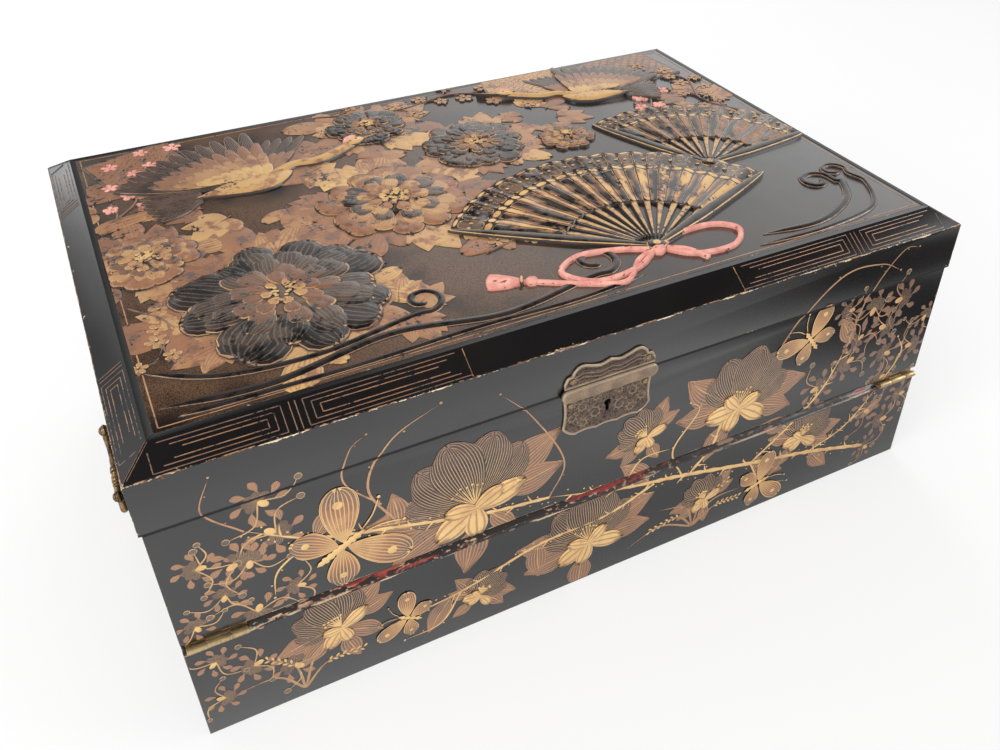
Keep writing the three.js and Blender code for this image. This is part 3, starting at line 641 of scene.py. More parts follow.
# %% [markdown]
# ## Petals
# Nearly everything in the picture is one of two shapes, a petal or a stroke. A petal leaves its base at
# an angle along a bent middle line, and its half width follows a form. Its numbers may be arrays, so a
# spray of a hundred petals is one call.
# %% Petals and dots
FORMS = {
    "round": lambda s: np.sqrt(np.clip(s * (1 - s), 0, 1)) * 2,
    "leaf": lambda s: np.sin(math.pi * s) ** 0.9 * (1.15 - 0.45 * s),
    "petal": lambda s: (1 - (1 - s) ** 2.2) ** 0.8 * np.sqrt(np.clip(1 - s ** 5, 0, 1)),
    "drop": lambda s: np.sin(math.pi * np.clip(s, 0, 1) ** 1.7) ** 0.8,
    "blade": lambda s: np.minimum(1, s * 7) ** 0.5 * (1 - s) ** 0.7,
    "feather": lambda s: np.minimum(1, 0.35 + s * 1.5) * np.sqrt(np.clip(1 - s ** 4, 0, 1)),
}


def petals(picture, x, y, angle, length, width, form="round", bend=0.0, height=0.3, lift=0.0,
           tilt=0.0, lobes=0, depth=0.0, steps=(8, 6), count=0, fold=0.0, **numbers):
    """Petals from points (x, y), turned to an angle. Along s from 0 to 1 the heading is
    angle + bend * s. Across t from -1 to 1 the half width is width / 2 * form(s). The tip is lobed by
    1 + depth * |cos(lobes * t)|. Height is lift + tilt * s + height * (1 - t^4) * (1 - (2s - 1)^6)."""
    x, y, angle, length, width = (column(value) for value in (x, y, angle, length, width))
    bend, lift = column(bend), column(lift)
    s = edge_spaced(steps[0] + 1, 0, 1).reshape(1, -1, 1)
    t = edge_spaced(steps[1] + 1, -1, 1).reshape(1, 1, -1)
    heading = angle + bend * s
    middle = (heading[:, 1:] + heading[:, :-1]) / 2
    step = np.diff(s, axis=1) * length
    start = np.zeros_like(heading[:, :1])
    along_x = np.concatenate((start, np.cumsum(np.cos(middle) * step, 1)), 1)
    along_y = np.concatenate((start, np.cumsum(np.sin(middle) * step, 1)), 1)
    half = width / 2 * FORMS[form](s)
    reach = 1 + depth * (np.abs(np.cos(lobes * t * math.pi / 2)) - 0.5) * s ** 2
    right = x + along_x * reach - np.sin(heading) * half * t
    up = y + along_y * reach + np.cos(heading) * half * t
    dome = (1 - t ** 4) * (1 - (2 * s - 1) ** 6)
    crease = 1 - fold * np.exp(-(t / 0.12) ** 2)
    out = lift + tilt * s + height * dome * crease
    edge = np.minimum(half * (1 - np.abs(t)), (1 - s) * length * reach)
    phase = t * count / 2 if count > 0 else (s * -count - np.abs(t) * 0.6)
    for key, value in numbers.items():
        if isinstance(value, tuple):
            numbers[key] = value[0] + (value[1] - value[0]) * s
    picture.grid(right, up, out, edge=edge, phase=phase, **numbers)


def dots(picture, x, y, size, height=0.25, **numbers):
    """Small domes: round petals as long as they are wide, centred on the points."""
    x, y = np.asarray(x, float), np.asarray(y, float)
    size = np.broadcast_to(np.asarray(size, float), x.shape)
    petals(picture, x - size / 2, y, np.zeros(x.shape), size, size, height=height, steps=(4, 4), **numbers)


print("forms of a petal:", ", ".join(FORMS))

# %% [markdown]
# ## Strokes
# A stroke follows a smooth curve through a few points, as a brush does.
# %% Strokes


def curve_through(knots, count):
    """Points, headings and lengths on a Catmull-Rom curve: each piece is the cubic whose end slopes
    are half the way from the knot before to the knot after."""
    knots = np.asarray(knots, float)
    padded = np.concatenate((2 * knots[:1] - knots[1:2], knots, 2 * knots[-1:] - knots[-2:-1]))
    place = np.linspace(0, len(knots) - 1 - 1e-9, count)
    first = place.astype(int)
    f = (place - first)[:, None]
    a, b, c, d = (padded[first + shift] for shift in range(4))
    points = b + 0.5 * f * (c - a + f * (2 * a - 5 * b + 4 * c - d + f * (3 * (b - c) + d - a)))
    slope = np.gradient(points, axis=0)
    return points, np.arctan2(slope[:, 1], slope[:, 0]), np.hypot(slope[:, 0], slope[:, 1]).cumsum()


def stroke(picture, knots, width, count=24, ends=(0.15, 0.15), height=0.3, lift=0.0, columns=4,
           beads=0.0, **numbers):
    """A brush stroke through knots. Its half width is width / 2, and swells from nothing at an end over
    that share of the length where ends says so. Its height is lift + height * (1 - t^2)."""
    points, heading, way = curve_through(knots, count)
    s = np.linspace(0, 1, count)
    swell = np.ones(count)
    if ends[0]:
        swell *= np.clip(s / ends[0], 0.02, 1) ** 0.6
    if ends[1]:
        swell *= np.clip((1 - s) / ends[1], 0.02, 1) ** 0.6
    if beads:
        swell *= 0.8 + 0.2 * np.cos(way / beads * 2 * math.pi)
    half = (width / 2 * swell)[:, None]
    t = edge_spaced(columns + 1, -1, 1)[None, :]
    right = points[:, :1] - np.sin(heading)[:, None] * half * t
    up = points[:, 1:] + np.cos(heading)[:, None] * half * t
    out = lift + height * (1 - t ** 2) * np.clip(half / (width / 2), 0, 1)
    edge = half * (1 - np.abs(t))
    picture.grid(right[None], up[None], out[None], edge=edge, **numbers)


print("petals, dots and strokes ready")

# %% [markdown]
# ## Metal powder
# One finish paints every sprinkled shape. The tone picks a colour from a ramp that runs from bright
# gold over tan and copper to brown, dark and bare lacquer. Rims and veins are drawn by comparing the
# point's numbers with a limit, so they stay crisp, and two noises rub the powder off here and there.
# %% Sprinkled metal
RAMP = [
    (0.0, srgb(240, 200, 134)),
    (0.12, srgb(223, 178, 112)),
    (0.28, srgb(200, 156, 108)),
    (0.44, srgb(166, 116, 84)),
    (0.58, srgb(138, 98, 76)),
    (0.72, srgb(104, 88, 76)),
    (0.88, srgb(48, 42, 39)),
    (1.0, srgb(17, 15, 15)),
]


def sprinkled(name, wear, relief, ink):
    """Metal powder in lacquer. Wear is how much of it is rubbed away, and ink is the width in
    millimetres of the dark line that is left round each shape."""
    finish = Finish(name)
    edge, tone, rim_width, rim, phase, vein, vein_tone, gilt = (
        finish.node("Attribute", output=2, attribute_name=key) for key in DEFAULTS)
    fine = finish.noise(1500, 2)
    lump = finish.noise(210, 3)
    cloud = finish.noise(60, 3)
    tarnish = (finish.noise(105, 4, 0.65) - 0.5).step(0, 0.16) * wear * 0.3
    tone = tone + (cloud - 0.5) * 0.24 + (fine - 0.5) * 0.14 + tarnish
    wave = (phase.part() - 0.5).size() * 2
    line = (wave + (lump - 0.5) * 0.25).step(0.6, 0.85) * vein
    tone = tone + line * (vein_tone - tone)
    border = (rim_width - edge + (lump - 0.5) * 0.35 * rim_width).step(-0.05, 0.07)
    tone = tone + border * (rim + tarnish - tone)
    outline = (ink - edge + (lump - 0.5) * 0.2).step(-0.03, 0.05)
    tone = tone + outline * (DARK - tone)
    rubbed = (finish.noise(420, 4, 0.7) - 0.5) * 1.2 + (cloud - 0.5) * 1.1 + 0.5
    kept = (gilt * (1.25 - wear * 0.5) - rubbed).step(-0.05, 0.12)
    tone = LACQUER - kept * (LACQUER - tone)
    color = finish.ramp(tone, RAMP)
    metal = tone.step(0.95, 0.4)
    rough = 0.16 + metal * 0.26 + (fine - 0.5) * 0.12
    height = line * 0.7 + border * 0.8 + fine * 0.5 + lump * 0.6 * metal
    normal = finish.bump(height, 0.35 * relief, 0.00025)
    finish.set(Base_Color=color, Metallic=metal * 0.35, Roughness=rough, Normal=normal, IOR=1.5)
    return finish.set(Coat_Weight=0.85, Coat_Roughness=0.2, Coat_IOR=1.5)


painted_gold = sprinkled("sprinkled_gold", 0.4, 1.0, 0.08)
raised_gold = sprinkled("sprinkled_gold_raised", 0.85, 1.6, 0.3)
print("stops in the powder ramp:", len(RAMP))

# %% [markdown]
# ## The raised picture on the lid
# The lid carries open fans, tree peonies, two cranes, a stream and blossom sprays, all common motifs,
# drawn for this box. Each motif is a function that adds its petals and strokes to a picture. A `Spot`
# turns a motif's own millimetres into the panel's, so that it can be placed, turned and scaled.
# %% Spots
random = np.random.default_rng(11)
FULL = 2 * math.pi


def polar(x, y, angle, reach):
    """The point at a distance and an angle from (x, y)."""
    return x + reach * np.cos(angle), y + reach * np.sin(angle)


class Spot:
    """A place, a turn and a scale on the panel. A mirrored spot has its up side below."""

    def __init__(self, x, y, turn=0.0, scale=1.0, mirror=False):
        self.x, self.y, self.turn, self.scale = x, y, turn, scale
        self.sign = -1 if mirror else 1

    def at(self, x, y):
        """Panel coordinates of points: scaled, turned by the rotation formula, then moved."""
        x, y = np.asarray(x, float) * self.scale, np.asarray(y, float) * self.scale * self.sign
        cosine, sine = math.cos(self.turn), math.sin(self.turn)
        return self.x + x * cosine - y * sine, self.y + x * sine + y * cosine

    def petals(self, picture, x, y, angle, length, width, form, bend=0.0, **settings):
        """Petals in the spot's own millimetres. Stroke and dots below do the same."""
        angle = self.turn + np.asarray(angle, float) * self.sign
        length, width = np.asarray(length) * self.scale, np.asarray(width) * self.scale
        petals(picture, *self.at(x, y), angle, length, width, form, bend=bend * self.sign, **settings)

    def stroke(self, picture, knots, width, **settings):
        x, y = self.at(*np.asarray(knots, float).T)
        stroke(picture, np.stack((x, y), -1), width * self.scale, **settings)

    def dots(self, picture, x, y, size, **settings):
        dots(picture, *self.at(x, y), size * self.scale, **settings)


print("a Spot can", ", ".join(name for name in vars(Spot) if not name.startswith("__")))

# %% [markdown]
# ## Fans
# A folding fan is rings of wedges, one for each half fold, with a rod along each side and a pivot.
# %% Fans


def wedges(picture, x, y, near, far, first, last, out, **settings):
    """Sectors of a ring round (x, y): r runs from near to far and the angle from first to last. Out
    holds the heights along the first and the last edge."""
    near, far, first, last, low, high = (column(value) for value in (near, far, first, last, *out))
    r = near + (far - near) * edge_spaced(8, 0, 1).reshape(1, -1, 1)
    share = edge_spaced(3, 0, 1).reshape(1, 1, -1)
    angle = first + (last - first) * share
    sides = np.minimum(share, 1 - share) * np.abs(last - first) * r
    edge = np.minimum(sides, np.minimum(r - near, far - r))
    height = low + (high - low) * share
    picture.grid(*polar(x, y, angle, r), height, edge=edge, **settings)


def open_fan(picture, x, y, radius, start, stop, folds, lift, gold=0.12):
    """A folding fan. Its paper zigzags: each half fold climbs from the valley to the ridge."""
    edges = np.linspace(start, stop, 2 * folds + 1)
    down = np.arange(2 * folds) % 2
    out = lift + 0.3 + 1.2 * down, lift + 1.5 - 1.2 * down
    bands = ((0.44, 0.80, column(np.where(down, DARK, gold))), (0.80, 0.84, GOLD),
             (0.84, 0.975, column(DARK - down * 0.18)), (0.975, 1.0, GOLD))
    for near, far, tone in bands:
        wedges(picture, x, y, radius * near, radius * far, edges[:-1], edges[1:], out, tone=tone,
               rim_width=0.55, rim=PALE, gilt=0.86)
    middle = (edges[:-1:2] + edges[1::2]) / 2
    spread = (edges[1] - edges[0]) * 0.85
    wedges(picture, x, y, radius * 0.1, radius * 0.45, middle - spread * 0.5, middle + spread * 0.7,
           (lift + 0.6, lift + 0.6), tone=0.2, rim_width=0.3, rim=TAN, gilt=0.8)
    guard = np.array((start - 0.03, stop + 0.03))
    petals(picture, *polar(x, y, guard, -7), guard, radius + 8, 7.5, "feather", height=1.0,
           lift=lift + 0.9, tone=DARK, rim_width=0.8, rim=GOLD, steps=(20, 6))
    along = np.linspace(start, stop, 3 * folds)
    dots(picture, *polar(x, y, along, radius * 0.91), 2.6, lift=lift + 1.0, tone=PALE)
    dots(picture, x, y, 11, height=1.3, lift=lift + 1.4, tone=DARK, rim_width=1, rim=GOLD)
    dots(picture, x, y, 4.5, height=1.0, lift=lift + 2.6)


print("fans can be opened")

# %% [markdown]
# ## Peonies and leaves
# A peony is rings of cupped petals, and each of its leaves is a hand of lobes.
# %% Peonies and leaves


def peony(picture, x, y, radius, turn, dark):
    """Rings of cupped, scalloped petals. Each ring roots nearer the middle, higher and brighter."""
    tones = (DARK, 0.82, DARK, SMOKE, COPPER, TAN) if dark else (COPPER, TAN, SMOKE, PALE, TAN, GOLD)
    for level, tone in enumerate(tones):
        count = 12 - level
        around = np.arange(count) * FULL / count + random.uniform(-0.16, 0.16, count)
        angle = turn + level * 0.37 + around
        size = radius * (1 - level * 0.155)
        length = size * random.uniform(0.54, 0.68, count)
        width = length * random.uniform(0.85, 1.1, count)
        petals(picture, *polar(x, y, angle, size * 0.38), angle, length, width, "petal",
               bend=random.uniform(-0.5, 0.5, count), height=1.2, tilt=0.35, lobes=4,
               lift=0.5 + level * 0.4 + random.uniform(0, 0.3, count), steps=(9, 10), depth=0.1, fold=0.3,
               tone=tone + random.uniform(-0.08, 0.08), rim_width=0.85, rim=PALE if level % 2 else TAN,
               count=8, vein=0.35, vein_tone=COPPER, gilt=0.95)
    around = random.uniform(0, FULL, 26)
    away = radius * 0.17 * np.sqrt(random.uniform(0, 1, 26))
    dots(picture, x, y, radius * 0.72, height=1.2, lift=1.7, tone=SMOKE)
    dots(picture, *polar(x, y, around, away), 2.4, height=0.7, lift=3.2)


def lobed_leaf(picture, x, y, angle, length, tone):
    """A hand of broad lobes with torn tips. Each lobe runs from one tone at its base to another."""
    pointed = random.uniform() < 0.55
    form, lobes, width, jag = ("leaf", 5, 0.6, 0.0) if pointed else ("petal", 3, 0.72, 0.24)
    spread = np.linspace(-1.05, 1.05, lobes)
    reach = length * (1 - 0.36 * (np.abs(spread) / 1.05) ** 1.3)
    shade = tone + random.uniform(-0.1, 0.06)
    petals(picture, x, y, angle + spread, reach, reach * width, form,
           bend=random.uniform(-0.3, 0.3, lobes), height=0.4, lift=0.15, steps=(10, 12), lobes=5,
           depth=jag, tone=(shade, shade - random.uniform(-0.1, 0.22)), rim_width=0.3, rim=TAN, count=7,
           vein=random.choice((0.0, 0.35)), vein_tone=SMOKE, gilt=0.95)
    knots = [polar(x, y, angle, part * length) for part in (-0.08, 0, 0.75)]
    stroke(picture, knots, 0.9, count=8, ends=(0, 0.5), height=0.4, lift=0.35, columns=2, tone=TAN,
           skirt=False)


def foliage(picture, x, y, radius, many, size):
    """Leaves all round a flower, with their tips turned outwards."""
    angle = random.uniform(0, FULL) + np.arange(many) * FULL / many + random.uniform(-0.25, 0.25, many)
    away = radius * random.uniform(0.72, 1.0, many)
    lean = angle + random.uniform(-0.6, 0.6, many)
    for index in range(many):
        place = polar(x, y, angle[index], away[index])
        tone = (COPPER, TAN, 0.46)[index % 3]
        lobed_leaf(picture, *place, lean[index], size * random.uniform(0.8, 1.2), tone)


print("peonies and leaves ready")

# %% [markdown]
# ## Brocade cards
# The cards are square sheets with a woven pattern, which is drawn by the vein numbers alone.
# %% Brocade cards


def card(picture, x, y, turn, width, height, tone, lift, pitch=7.0, figure="lattice"):
    """A square of brocade paper: a flat sheet with a rim, and a lattice or scale pattern. The lattice
    line is where u + v or u - v is a whole number of pitches, and scales are rows of arcs."""
    u = np.linspace(-width / 2, width / 2, int(width / 0.9)).reshape(1, -1, 1)
    v = np.linspace(-height / 2, height / 2, int(height / 0.9)).reshape(1, 1, -1)
    if figure == "lattice":
        first, second = ((u + v) / pitch) % 1, ((u - v) / pitch) % 1
        line = np.maximum(np.abs(first - 0.5), np.abs(second - 0.5)) * 2
    else:
        row = np.floor(v / pitch * 2)
        across = (u / pitch + row / 2) % 1 - 0.5
        up = v / pitch - row / 2
        line = 1 - np.abs(((np.hypot(across, up) * 3.6) % 1) - 0.5) * 2
    edge = np.minimum(width / 2 - np.abs(u), height / 2 - np.abs(v))
    right, up = Spot(x, y, turn).at(u, v)
    picture.grid(right, up, lift, edge=edge, tone=tone, phase=0.5 + 0.49 * line, rim_width=2.4, rim=SMOKE,
                 vein=(edge > 3.4) * 0.75, vein_tone=DARK, gilt=0.98)


print("motifs so far: fan, peony, leaf, card")

# %% [markdown]
# ## Cranes
# A crane is rows of feathers: long dark primaries, lighter secondaries and short gold coverts, each
# row over the last.
# %% Cranes


def feathers(spot, picture, x, y, first, last, many, length, width, lift, tone):
    """A row of overlapping feathers whose angle, root and length change evenly along the row."""
    share = np.linspace(0, 1, many)
    x, y, length, angle = (low + (high - low) * share for low, high in (x, y, length, (first, last)))
    spot.petals(picture, x, y, angle, length, width, "feather", height=0.45, lift=lift + share * 0.25,
                fold=0.4, steps=(10, 6), tone=tone, rim_width=0.45, rim=PALE, count=9, vein=0.6,
                vein_tone=TAN)


def crane(picture, coral, spot, lift):
    """A crane in flight towards +x, its near wing raised and its legs behind it."""
    feathers(spot, picture, (10, 2), (4, 3), 0.75, 1.45, 8, (44, 34), 7, lift - 0.5, DARK)
    feathers(spot, picture, (12, 4), (4, 3), 0.7, 1.4, 7, (26, 20), 6, lift - 0.1, COPPER)
    for side in (-2.2, 1.8):
        knots = [(-18, side * 0.5), (-38, side - 2), (-62, side * 1.6 - 5)]
        spot.stroke(picture, knots, 1.5, height=0.6, lift=0.3, tone=TAN)
    tail = math.pi + 0.42, math.pi - 0.3
    feathers(spot, picture, (-18, -16), (-3, 4), *tail, 7, (21, 25), 6, lift, DARK)
    spot.petals(picture, -22, -1, 0.06, 46, 19, "drop", height=1.5, lift=lift, steps=(14, 10), tone=0.16,
                rim_width=0.6, rim=COPPER, gilt=0.95)
    neck = [(14, 2), (26, 7), (36, 5), (47, 8), (57, 12)]
    spot.stroke(picture, neck, 6.2, count=26, ends=(0, 0), columns=6, height=1.6, lift=lift + 0.3, tone=0.18)
    head = ((picture, 53, 11, 0.25, 11, 6.2, "round", 1.3, 1.0, GOLD),
            (picture, 61.5, 13.2, 0.12, 15, 2.7, "blade", 0.8, 0.6, TAN),
            (picture, 54.5, 14.5, 0.3, 7, 3.8, "round", 1.0, 1.3, GOLD),
            (coral, 54.0, 14.6, 0.3, 7.5, 4.2, "round", 1.2, 1.4, GOLD))
    for target, *shape, height, rise, tone in head:
        spot.petals(target, *shape, height=height, lift=lift + rise, tone=tone)
    spot.dots(picture, 59.5, 12.8, 1.5, height=0.6, lift=lift + 1.9, tone=LACQUER)
    wing = (((8, -12), (2, 5), 1.35, 2.62, 12, (50, 40), 8, lift + 0.3, DARK),
            ((10, -10), (2, 5), 1.3, 2.6, 11, (36, 28), 7, lift + 0.7, COPPER),
            ((11, -9), (2, 5), 1.25, 2.6, 10, (24, 19), 6.5, lift + 1.0, TAN),
            ((12, -7), (1, 5), 1.2, 2.6, 8, (13, 11), 6, lift + 1.3, 0.1))
    for row in wing:
        feathers(spot, picture, *row)


print("cranes can fly")

# %% [markdown]
# ## Cords, streams and sprays
# Cords are thick coral strokes and streams broad black ones. Sprays repeat a five-petalled blossom.
# %% Tassels, streams and sprays


def tassel(coral, picture, x, y, angle):
    """A round knot, a gold collar and a skirt of threads."""
    cosine, sine = math.cos(angle), math.sin(angle)
    fan = np.linspace(-0.3, 0.3, 7)
    petals(coral, x, y, angle + fan, 20, 4.2, "feather", height=0.8, lift=1.0, steps=(6, 4))
    dots(coral, *polar(x, y, angle, -2), 6.5, height=1.6, lift=1.4)
    collar = [(x + 3 * cosine + sine * side, y + 3 * sine - cosine * side) for side in (3.4, 0, -3.4)]
    stroke(picture, collar, 1.8, count=8, height=0.6, lift=2.2)


def spiral(x, y, start, turn, size, turns=1.1):
    """Knots of a curl: from the outside in, the radius falls evenly as the angle runs on."""
    share = np.linspace(0, 1, 9)
    angle = start + turn * share * turns * FULL
    radius = size * (1 - 0.75 * share)
    return np.stack(polar(x, y, angle, radius), -1)


def stream(picture, knots, width, curl):
    """A raised band of water: bare lacquer with a gilt line along each side, and perhaps a curled end."""
    path = np.asarray(knots, float)
    if curl:
        path = np.concatenate((path, spiral(*curl)))
    stroke(picture, path, width, count=14 * len(path), ends=(0.04, 0.1), columns=6, height=1.25, lift=0.15,
           tone=0.92, rim_width=0.55, rim=TAN, gilt=0.92)


def blossoms(picture, x, y, size, lift):
    """Small five-petalled blossoms, with a dot in the middle of each."""
    turn = random.uniform(0, FULL, x.shape)
    for petal in range(5):
        petals(picture, x, y, turn + petal * FULL / 5, size * 0.56, size * 0.46, "petal", height=0.3,
               lift=lift, steps=(5, 4), tone=TAN, rim_width=0.55, rim=GOLD)
    dots(picture, x, y, size * 0.2, height=0.5, lift=lift + 0.35)


def spray(picture, knots, twigs, reach, lift, flowers):
    """A branch with twigs to both sides, and a blossom and a few small leaves at each twig's end."""
    stroke(picture, knots, 1.6, count=36, ends=(0, 0.3), height=0.6, lift=lift, tone=COPPER)
    points, heading, _ = curve_through(knots, twigs + 2)
    tips = []
    for index in range(1, twigs + 2):
        side = 1 if index % 2 else -1
        angle = heading[index] + side * random.uniform(0.5, 1.0)
        far = reach * random.uniform(0.6, 1.15)
        tip = polar(*points[index], angle, far)
        knots = [points[index], polar(*points[index], angle - side * 0.3, far * 0.5), tip]
        stroke(picture, knots, 1.12, count=8, ends=(0, 0.4), height=0.45, lift=lift, tone=COPPER)
        tips.append(tip)
        small = angle + np.array((-0.9, -0.3, 0.4, 1.0)) * random.uniform(0.8, 1.2)
        petals(picture, *tip, small, random.uniform(4.5, 8, 4), 2.7, "leaf", height=0.35, lift=lift,
               steps=(5, 4), tone=COPPER, rim_width=0.2, rim=TAN)
    x, y = np.array(tips).T
    blossoms(flowers or picture, x, y, 9 * random.uniform(0.8, 1.2, len(tips)), lift + 0.12)


print("lid motifs ready")

# %% [markdown]
# ## Composing the lid
# The large motifs stand where the old lid is richest, and the front right corner is left almost bare,
# as it is there. Low shapes are drawn first and high ones last, and each dome simply hides what runs
# under it.
# %% Lid picture
lid_leaves, lid_picture, lid_coral = (Picture(skirt=True) for _ in range(3))
STREAMS = [
    ([(-196, -118), (-150, -122), (-96, -112), (-44, -121), (4, -112)], 5.5, (14, -100, -1.4, 1, 12)),
    ([(-190, -126), (-120, -127), (-60, -125), (-10, -126), (30, -122)], 4.0, None),
    ([(-198, -92), (-168, -108), (-128, -112), (-84, -104)], 4.5, (-74, -94, -1.5, 1, 10)),
    ([(104, -118), (140, -120), (168, -108), (180, -92)], 5.0, (168, -84, -0.4, 1, 11)),
    ([(96, -126), (140, -127), (176, -120), (192, -98)], 3.6, (185, -78, -0.9, 1, 9)),
]
# Each clump of leaves has a place, a radius, how many leaves, and their size.
LEAVES = [(-130, -62, 44, 12, 34), (-52, 2, 36, 11, 30), (16, 46, 28, 10, 26), (-184, -4, 20, 7, 24),
          (-34, 98, 22, 9, 26), (-118, 50, 40, 10, 30), (-84, -96, 8, 4, 24), (-10, -44, 14, 5, 24),
          (70, 66, 16, 6, 22), (176, 44, 12, 5, 22), (-66, 62, 14, 5, 26), (-186, 60, 14, 5, 24)]
# Each spray has its knots, how many twigs, their reach, its height, and the picture for its flowers.
SPRAYS = [
    ([(-196, 40), (-176, 66), (-182, 96), (-160, 122)], 9, 13, 0.25, lid_coral),
    ([(-60, 126), (-10, 114), (34, 122), (70, 100)], 11, 13, 0.6, None),
    ([(196, 4), (178, 40), (188, 76), (166, 104)], 12, 13, 0.5, None),
    ([(110, 30), (136, 40), (152, 66), (150, 84)], 9, 12, 0.5, lid_coral),
    ([(150, 22), (170, 10), (196, -14)], 6, 11, 0.25, None),
    ([(-196, -40), (-182, -60), (-190, -84)], 5, 10, 0.25, None),
    ([(-30, -70), (-8, -62), (20, -36), (40, -10)], 8, 11, 0.6, None),
]
# Each peony has a place, a radius, a turn, and whether it is a dark one.
PEONIES = [(-130, -62, 50, 0.2, True), (-52, 2, 40, 0.9, False), (16, 46, 31, 0.5, True),
           (-182, -2, 25, 1.2, False), (-34, 98, 25, 1.7, True), (70, 30, 17, 0.4, False)]
for row in STREAMS:
    stream(lid_leaves, *row)
card(lid_leaves, 148, 108, 0.12, 84, 50, 0.4, 0.5)
card(lid_leaves, 86, 116, -0.16, 62, 44, 0.28, 0.9, 10.0, "scales")
card(lid_leaves, -168, 106, 0.3, 52, 44, 0.46, 0.5, 8.0, "scales")
for row in LEAVES:
    foliage(lid_leaves, *row)
for row in SPRAYS:
    spray(lid_leaves, *row)
open_fan(lid_picture, 126, -40, 84, 0.15, 1.95, 9, lift=0.2, gold=0.42)
open_fan(lid_picture, 48, -104, 106, 0.42, 2.5, 13, lift=0.9)
for row in PEONIES:
    peony(lid_picture, *row)
crane(lid_picture, lid_coral, Spot(-122, 54, 0.12, 1.3), 1.2)
crane(lid_picture, lid_coral, Spot(120, 76, 2.9, 1.05, mirror=True), 1.6)
print("points in the lid picture:", lid_picture.count)

# %% [markdown]
# ## The coral cord
# The cord is tied round the large fan's pivot: two loops, a short end and a long one with a tassel.
# %% Coral cord and the lid's three meshes
PANEL_X, PANEL_Y, LID_TOP = 200.4, 131.4, 173.9
CORDS = [
    ([(48, -104), (30, -116), (6, -118), (-6, -104), (8, -94), (30, -98), (46, -106)], 3.0, 60, 1.4),
    ([(48, -104), (62, -118), (84, -120), (96, -108), (86, -98), (64, -98), (48, -106)], 3.0, 60, 1.4),
    ([(47, -106), (34, -110), (18, -124), (-2, -116), (-22, -104)], 2.8, 40, 1.2),
    ([(49, -106), (60, -112), (66, -124)], 2.8, 20, 1.2),
]


def coral_finish():
    """Coral lacquer in two shades, rubbed brown here and there."""
    finish = Finish("coral_lacquer")
    rub = (finish.noise(420, 4) - 0.60).step(0, 0.08)
    red = finish.mix(finish.noise(160, 4).step(0.3, 0.7), srgb(202, 130, 118), srgb(226, 166, 150))
    finish.set(Base_Color=finish.mix(rub, red, srgb(110, 58, 50)), Roughness=0.42)
    return finish.set(Normal=finish.bump(finish.noise(1100, 3), 0.3, 0.0002))


for knots, width, count, lift in CORDS:
    stroke(lid_coral, knots, width, count=count, ends=(0, 0), height=1.2, lift=lift)
tassel(lid_coral, lid_picture, -24, -103, 2.7)
dots(lid_coral, 47, -107, 8, height=1.6, lift=2.0)
top_plane = (0, 0, LID_TOP), (1, 0, 0), (0, 1, 0)
top_window = (-PANEL_X, PANEL_X, -PANEL_Y, PANEL_Y)
add_piece(lid_leaves.mesh("lid_leaves_picture", top_plane, top_window), raised_gold, "lid")
add_piece(lid_picture.mesh("lid_picture", top_plane, top_window), raised_gold, "lid")
add_piece(lid_coral.mesh("lid_coral_cords", top_plane, top_window), coral_finish(), "lid")

# %% [markdown]
# ## The flat picture on the front
# The front is painted almost flat, with woody stems and thin tendrils that end in a dot, and copper
# leaves with parallel pale veins.
# %% Stems, tendrils and leaves
LOW = dict(lift=0.1, tone=GOLD)


def beside(points, heading, offset):
    """Points moved square to the line's heading, to its left where the offset is positive."""
    return points[:, 0] - np.sin(heading) * offset, points[:, 1] + np.cos(heading) * offset


def tendril(picture, knots, width=1.2, tone=GOLD):
    """A thin curved stem that ends in a dot, with a few small dots beside it."""
    stroke(picture, knots, width, count=30, ends=(0, 0.55), height=0.12, lift=0.1, tone=tone)
    points, heading, _ = curve_through(knots, 30)
    dots(picture, *points[-1], width * 1.25, height=0.14, lift=0.1, tone=tone)
    chosen = [6, 14, 22]
    side = np.array((-1, 1, -1)) * width * 1.1
    dots(picture, *beside(points[chosen], heading[chosen], side), width * 0.85, height=0.12, lift=0.1,
         tone=tone)


def stem(picture, knots, width, thorns):
    """A woody stem with short thorns that lean forwards, and rows of dots where it is rough."""
    stroke(picture, knots, width, count=50, ends=(0, 0.35), height=0.25, rim_width=0.3, rim=TAN, beads=9,
           **LOW)
    points, heading, _ = curve_through(knots, thorns + 2)
    side = np.where(np.arange(thorns) % 2, 1.0, -1.0)
    angle = heading[1:-1] + side * random.uniform(0.5, 0.9, thorns)
    petals(picture, *points[1:-1].T, angle, random.uniform(4, 9, thorns), width * 0.5, "blade",
           bend=side * 0.5, height=0.2, steps=(6, 3), **LOW)
    many = thorns * 3
    points, heading, _ = curve_through(knots, many)
    offset = random.uniform(0.75, 1.2, many) * width * np.where(random.uniform(0, 1, many) > 0.5, 1, -1)
    dots(picture, *beside(points, heading, offset), random.uniform(0.7, 1.3, many), height=0.12, **LOW)


def veined_leaf(picture, x, y, angle, length, share=0.55, lift=0.06, bend=0.3):
    """A copper leaf with a pale rim, pale side veins that lean towards the tip, and a middle vein."""
    petals(picture, x, y, angle, length, length * share, "leaf", bend=bend, height=0.06, lift=lift,
           steps=(22, 20), lobes=7, depth=0.05, tone=(COPPER + 0.12, COPPER + 0.02), rim_width=0.32,
           rim=0.28, count=3 + int(length * 0.22), vein=0.95, vein_tone=0.3)
    s = np.linspace(0, 0.96, 7)
    way = angle + bend * s
    step = length * np.diff(s, prepend=0)
    knots = np.stack((x + np.cumsum(np.cos(way) * step), y + np.cumsum(np.sin(way) * step)), -1)
    stroke(picture, knots, 0.75, count=16, ends=(0, 0.5), height=0.08, lift=lift + 0.04, tone=PALE)


print("stems, tendrils and leaves ready")

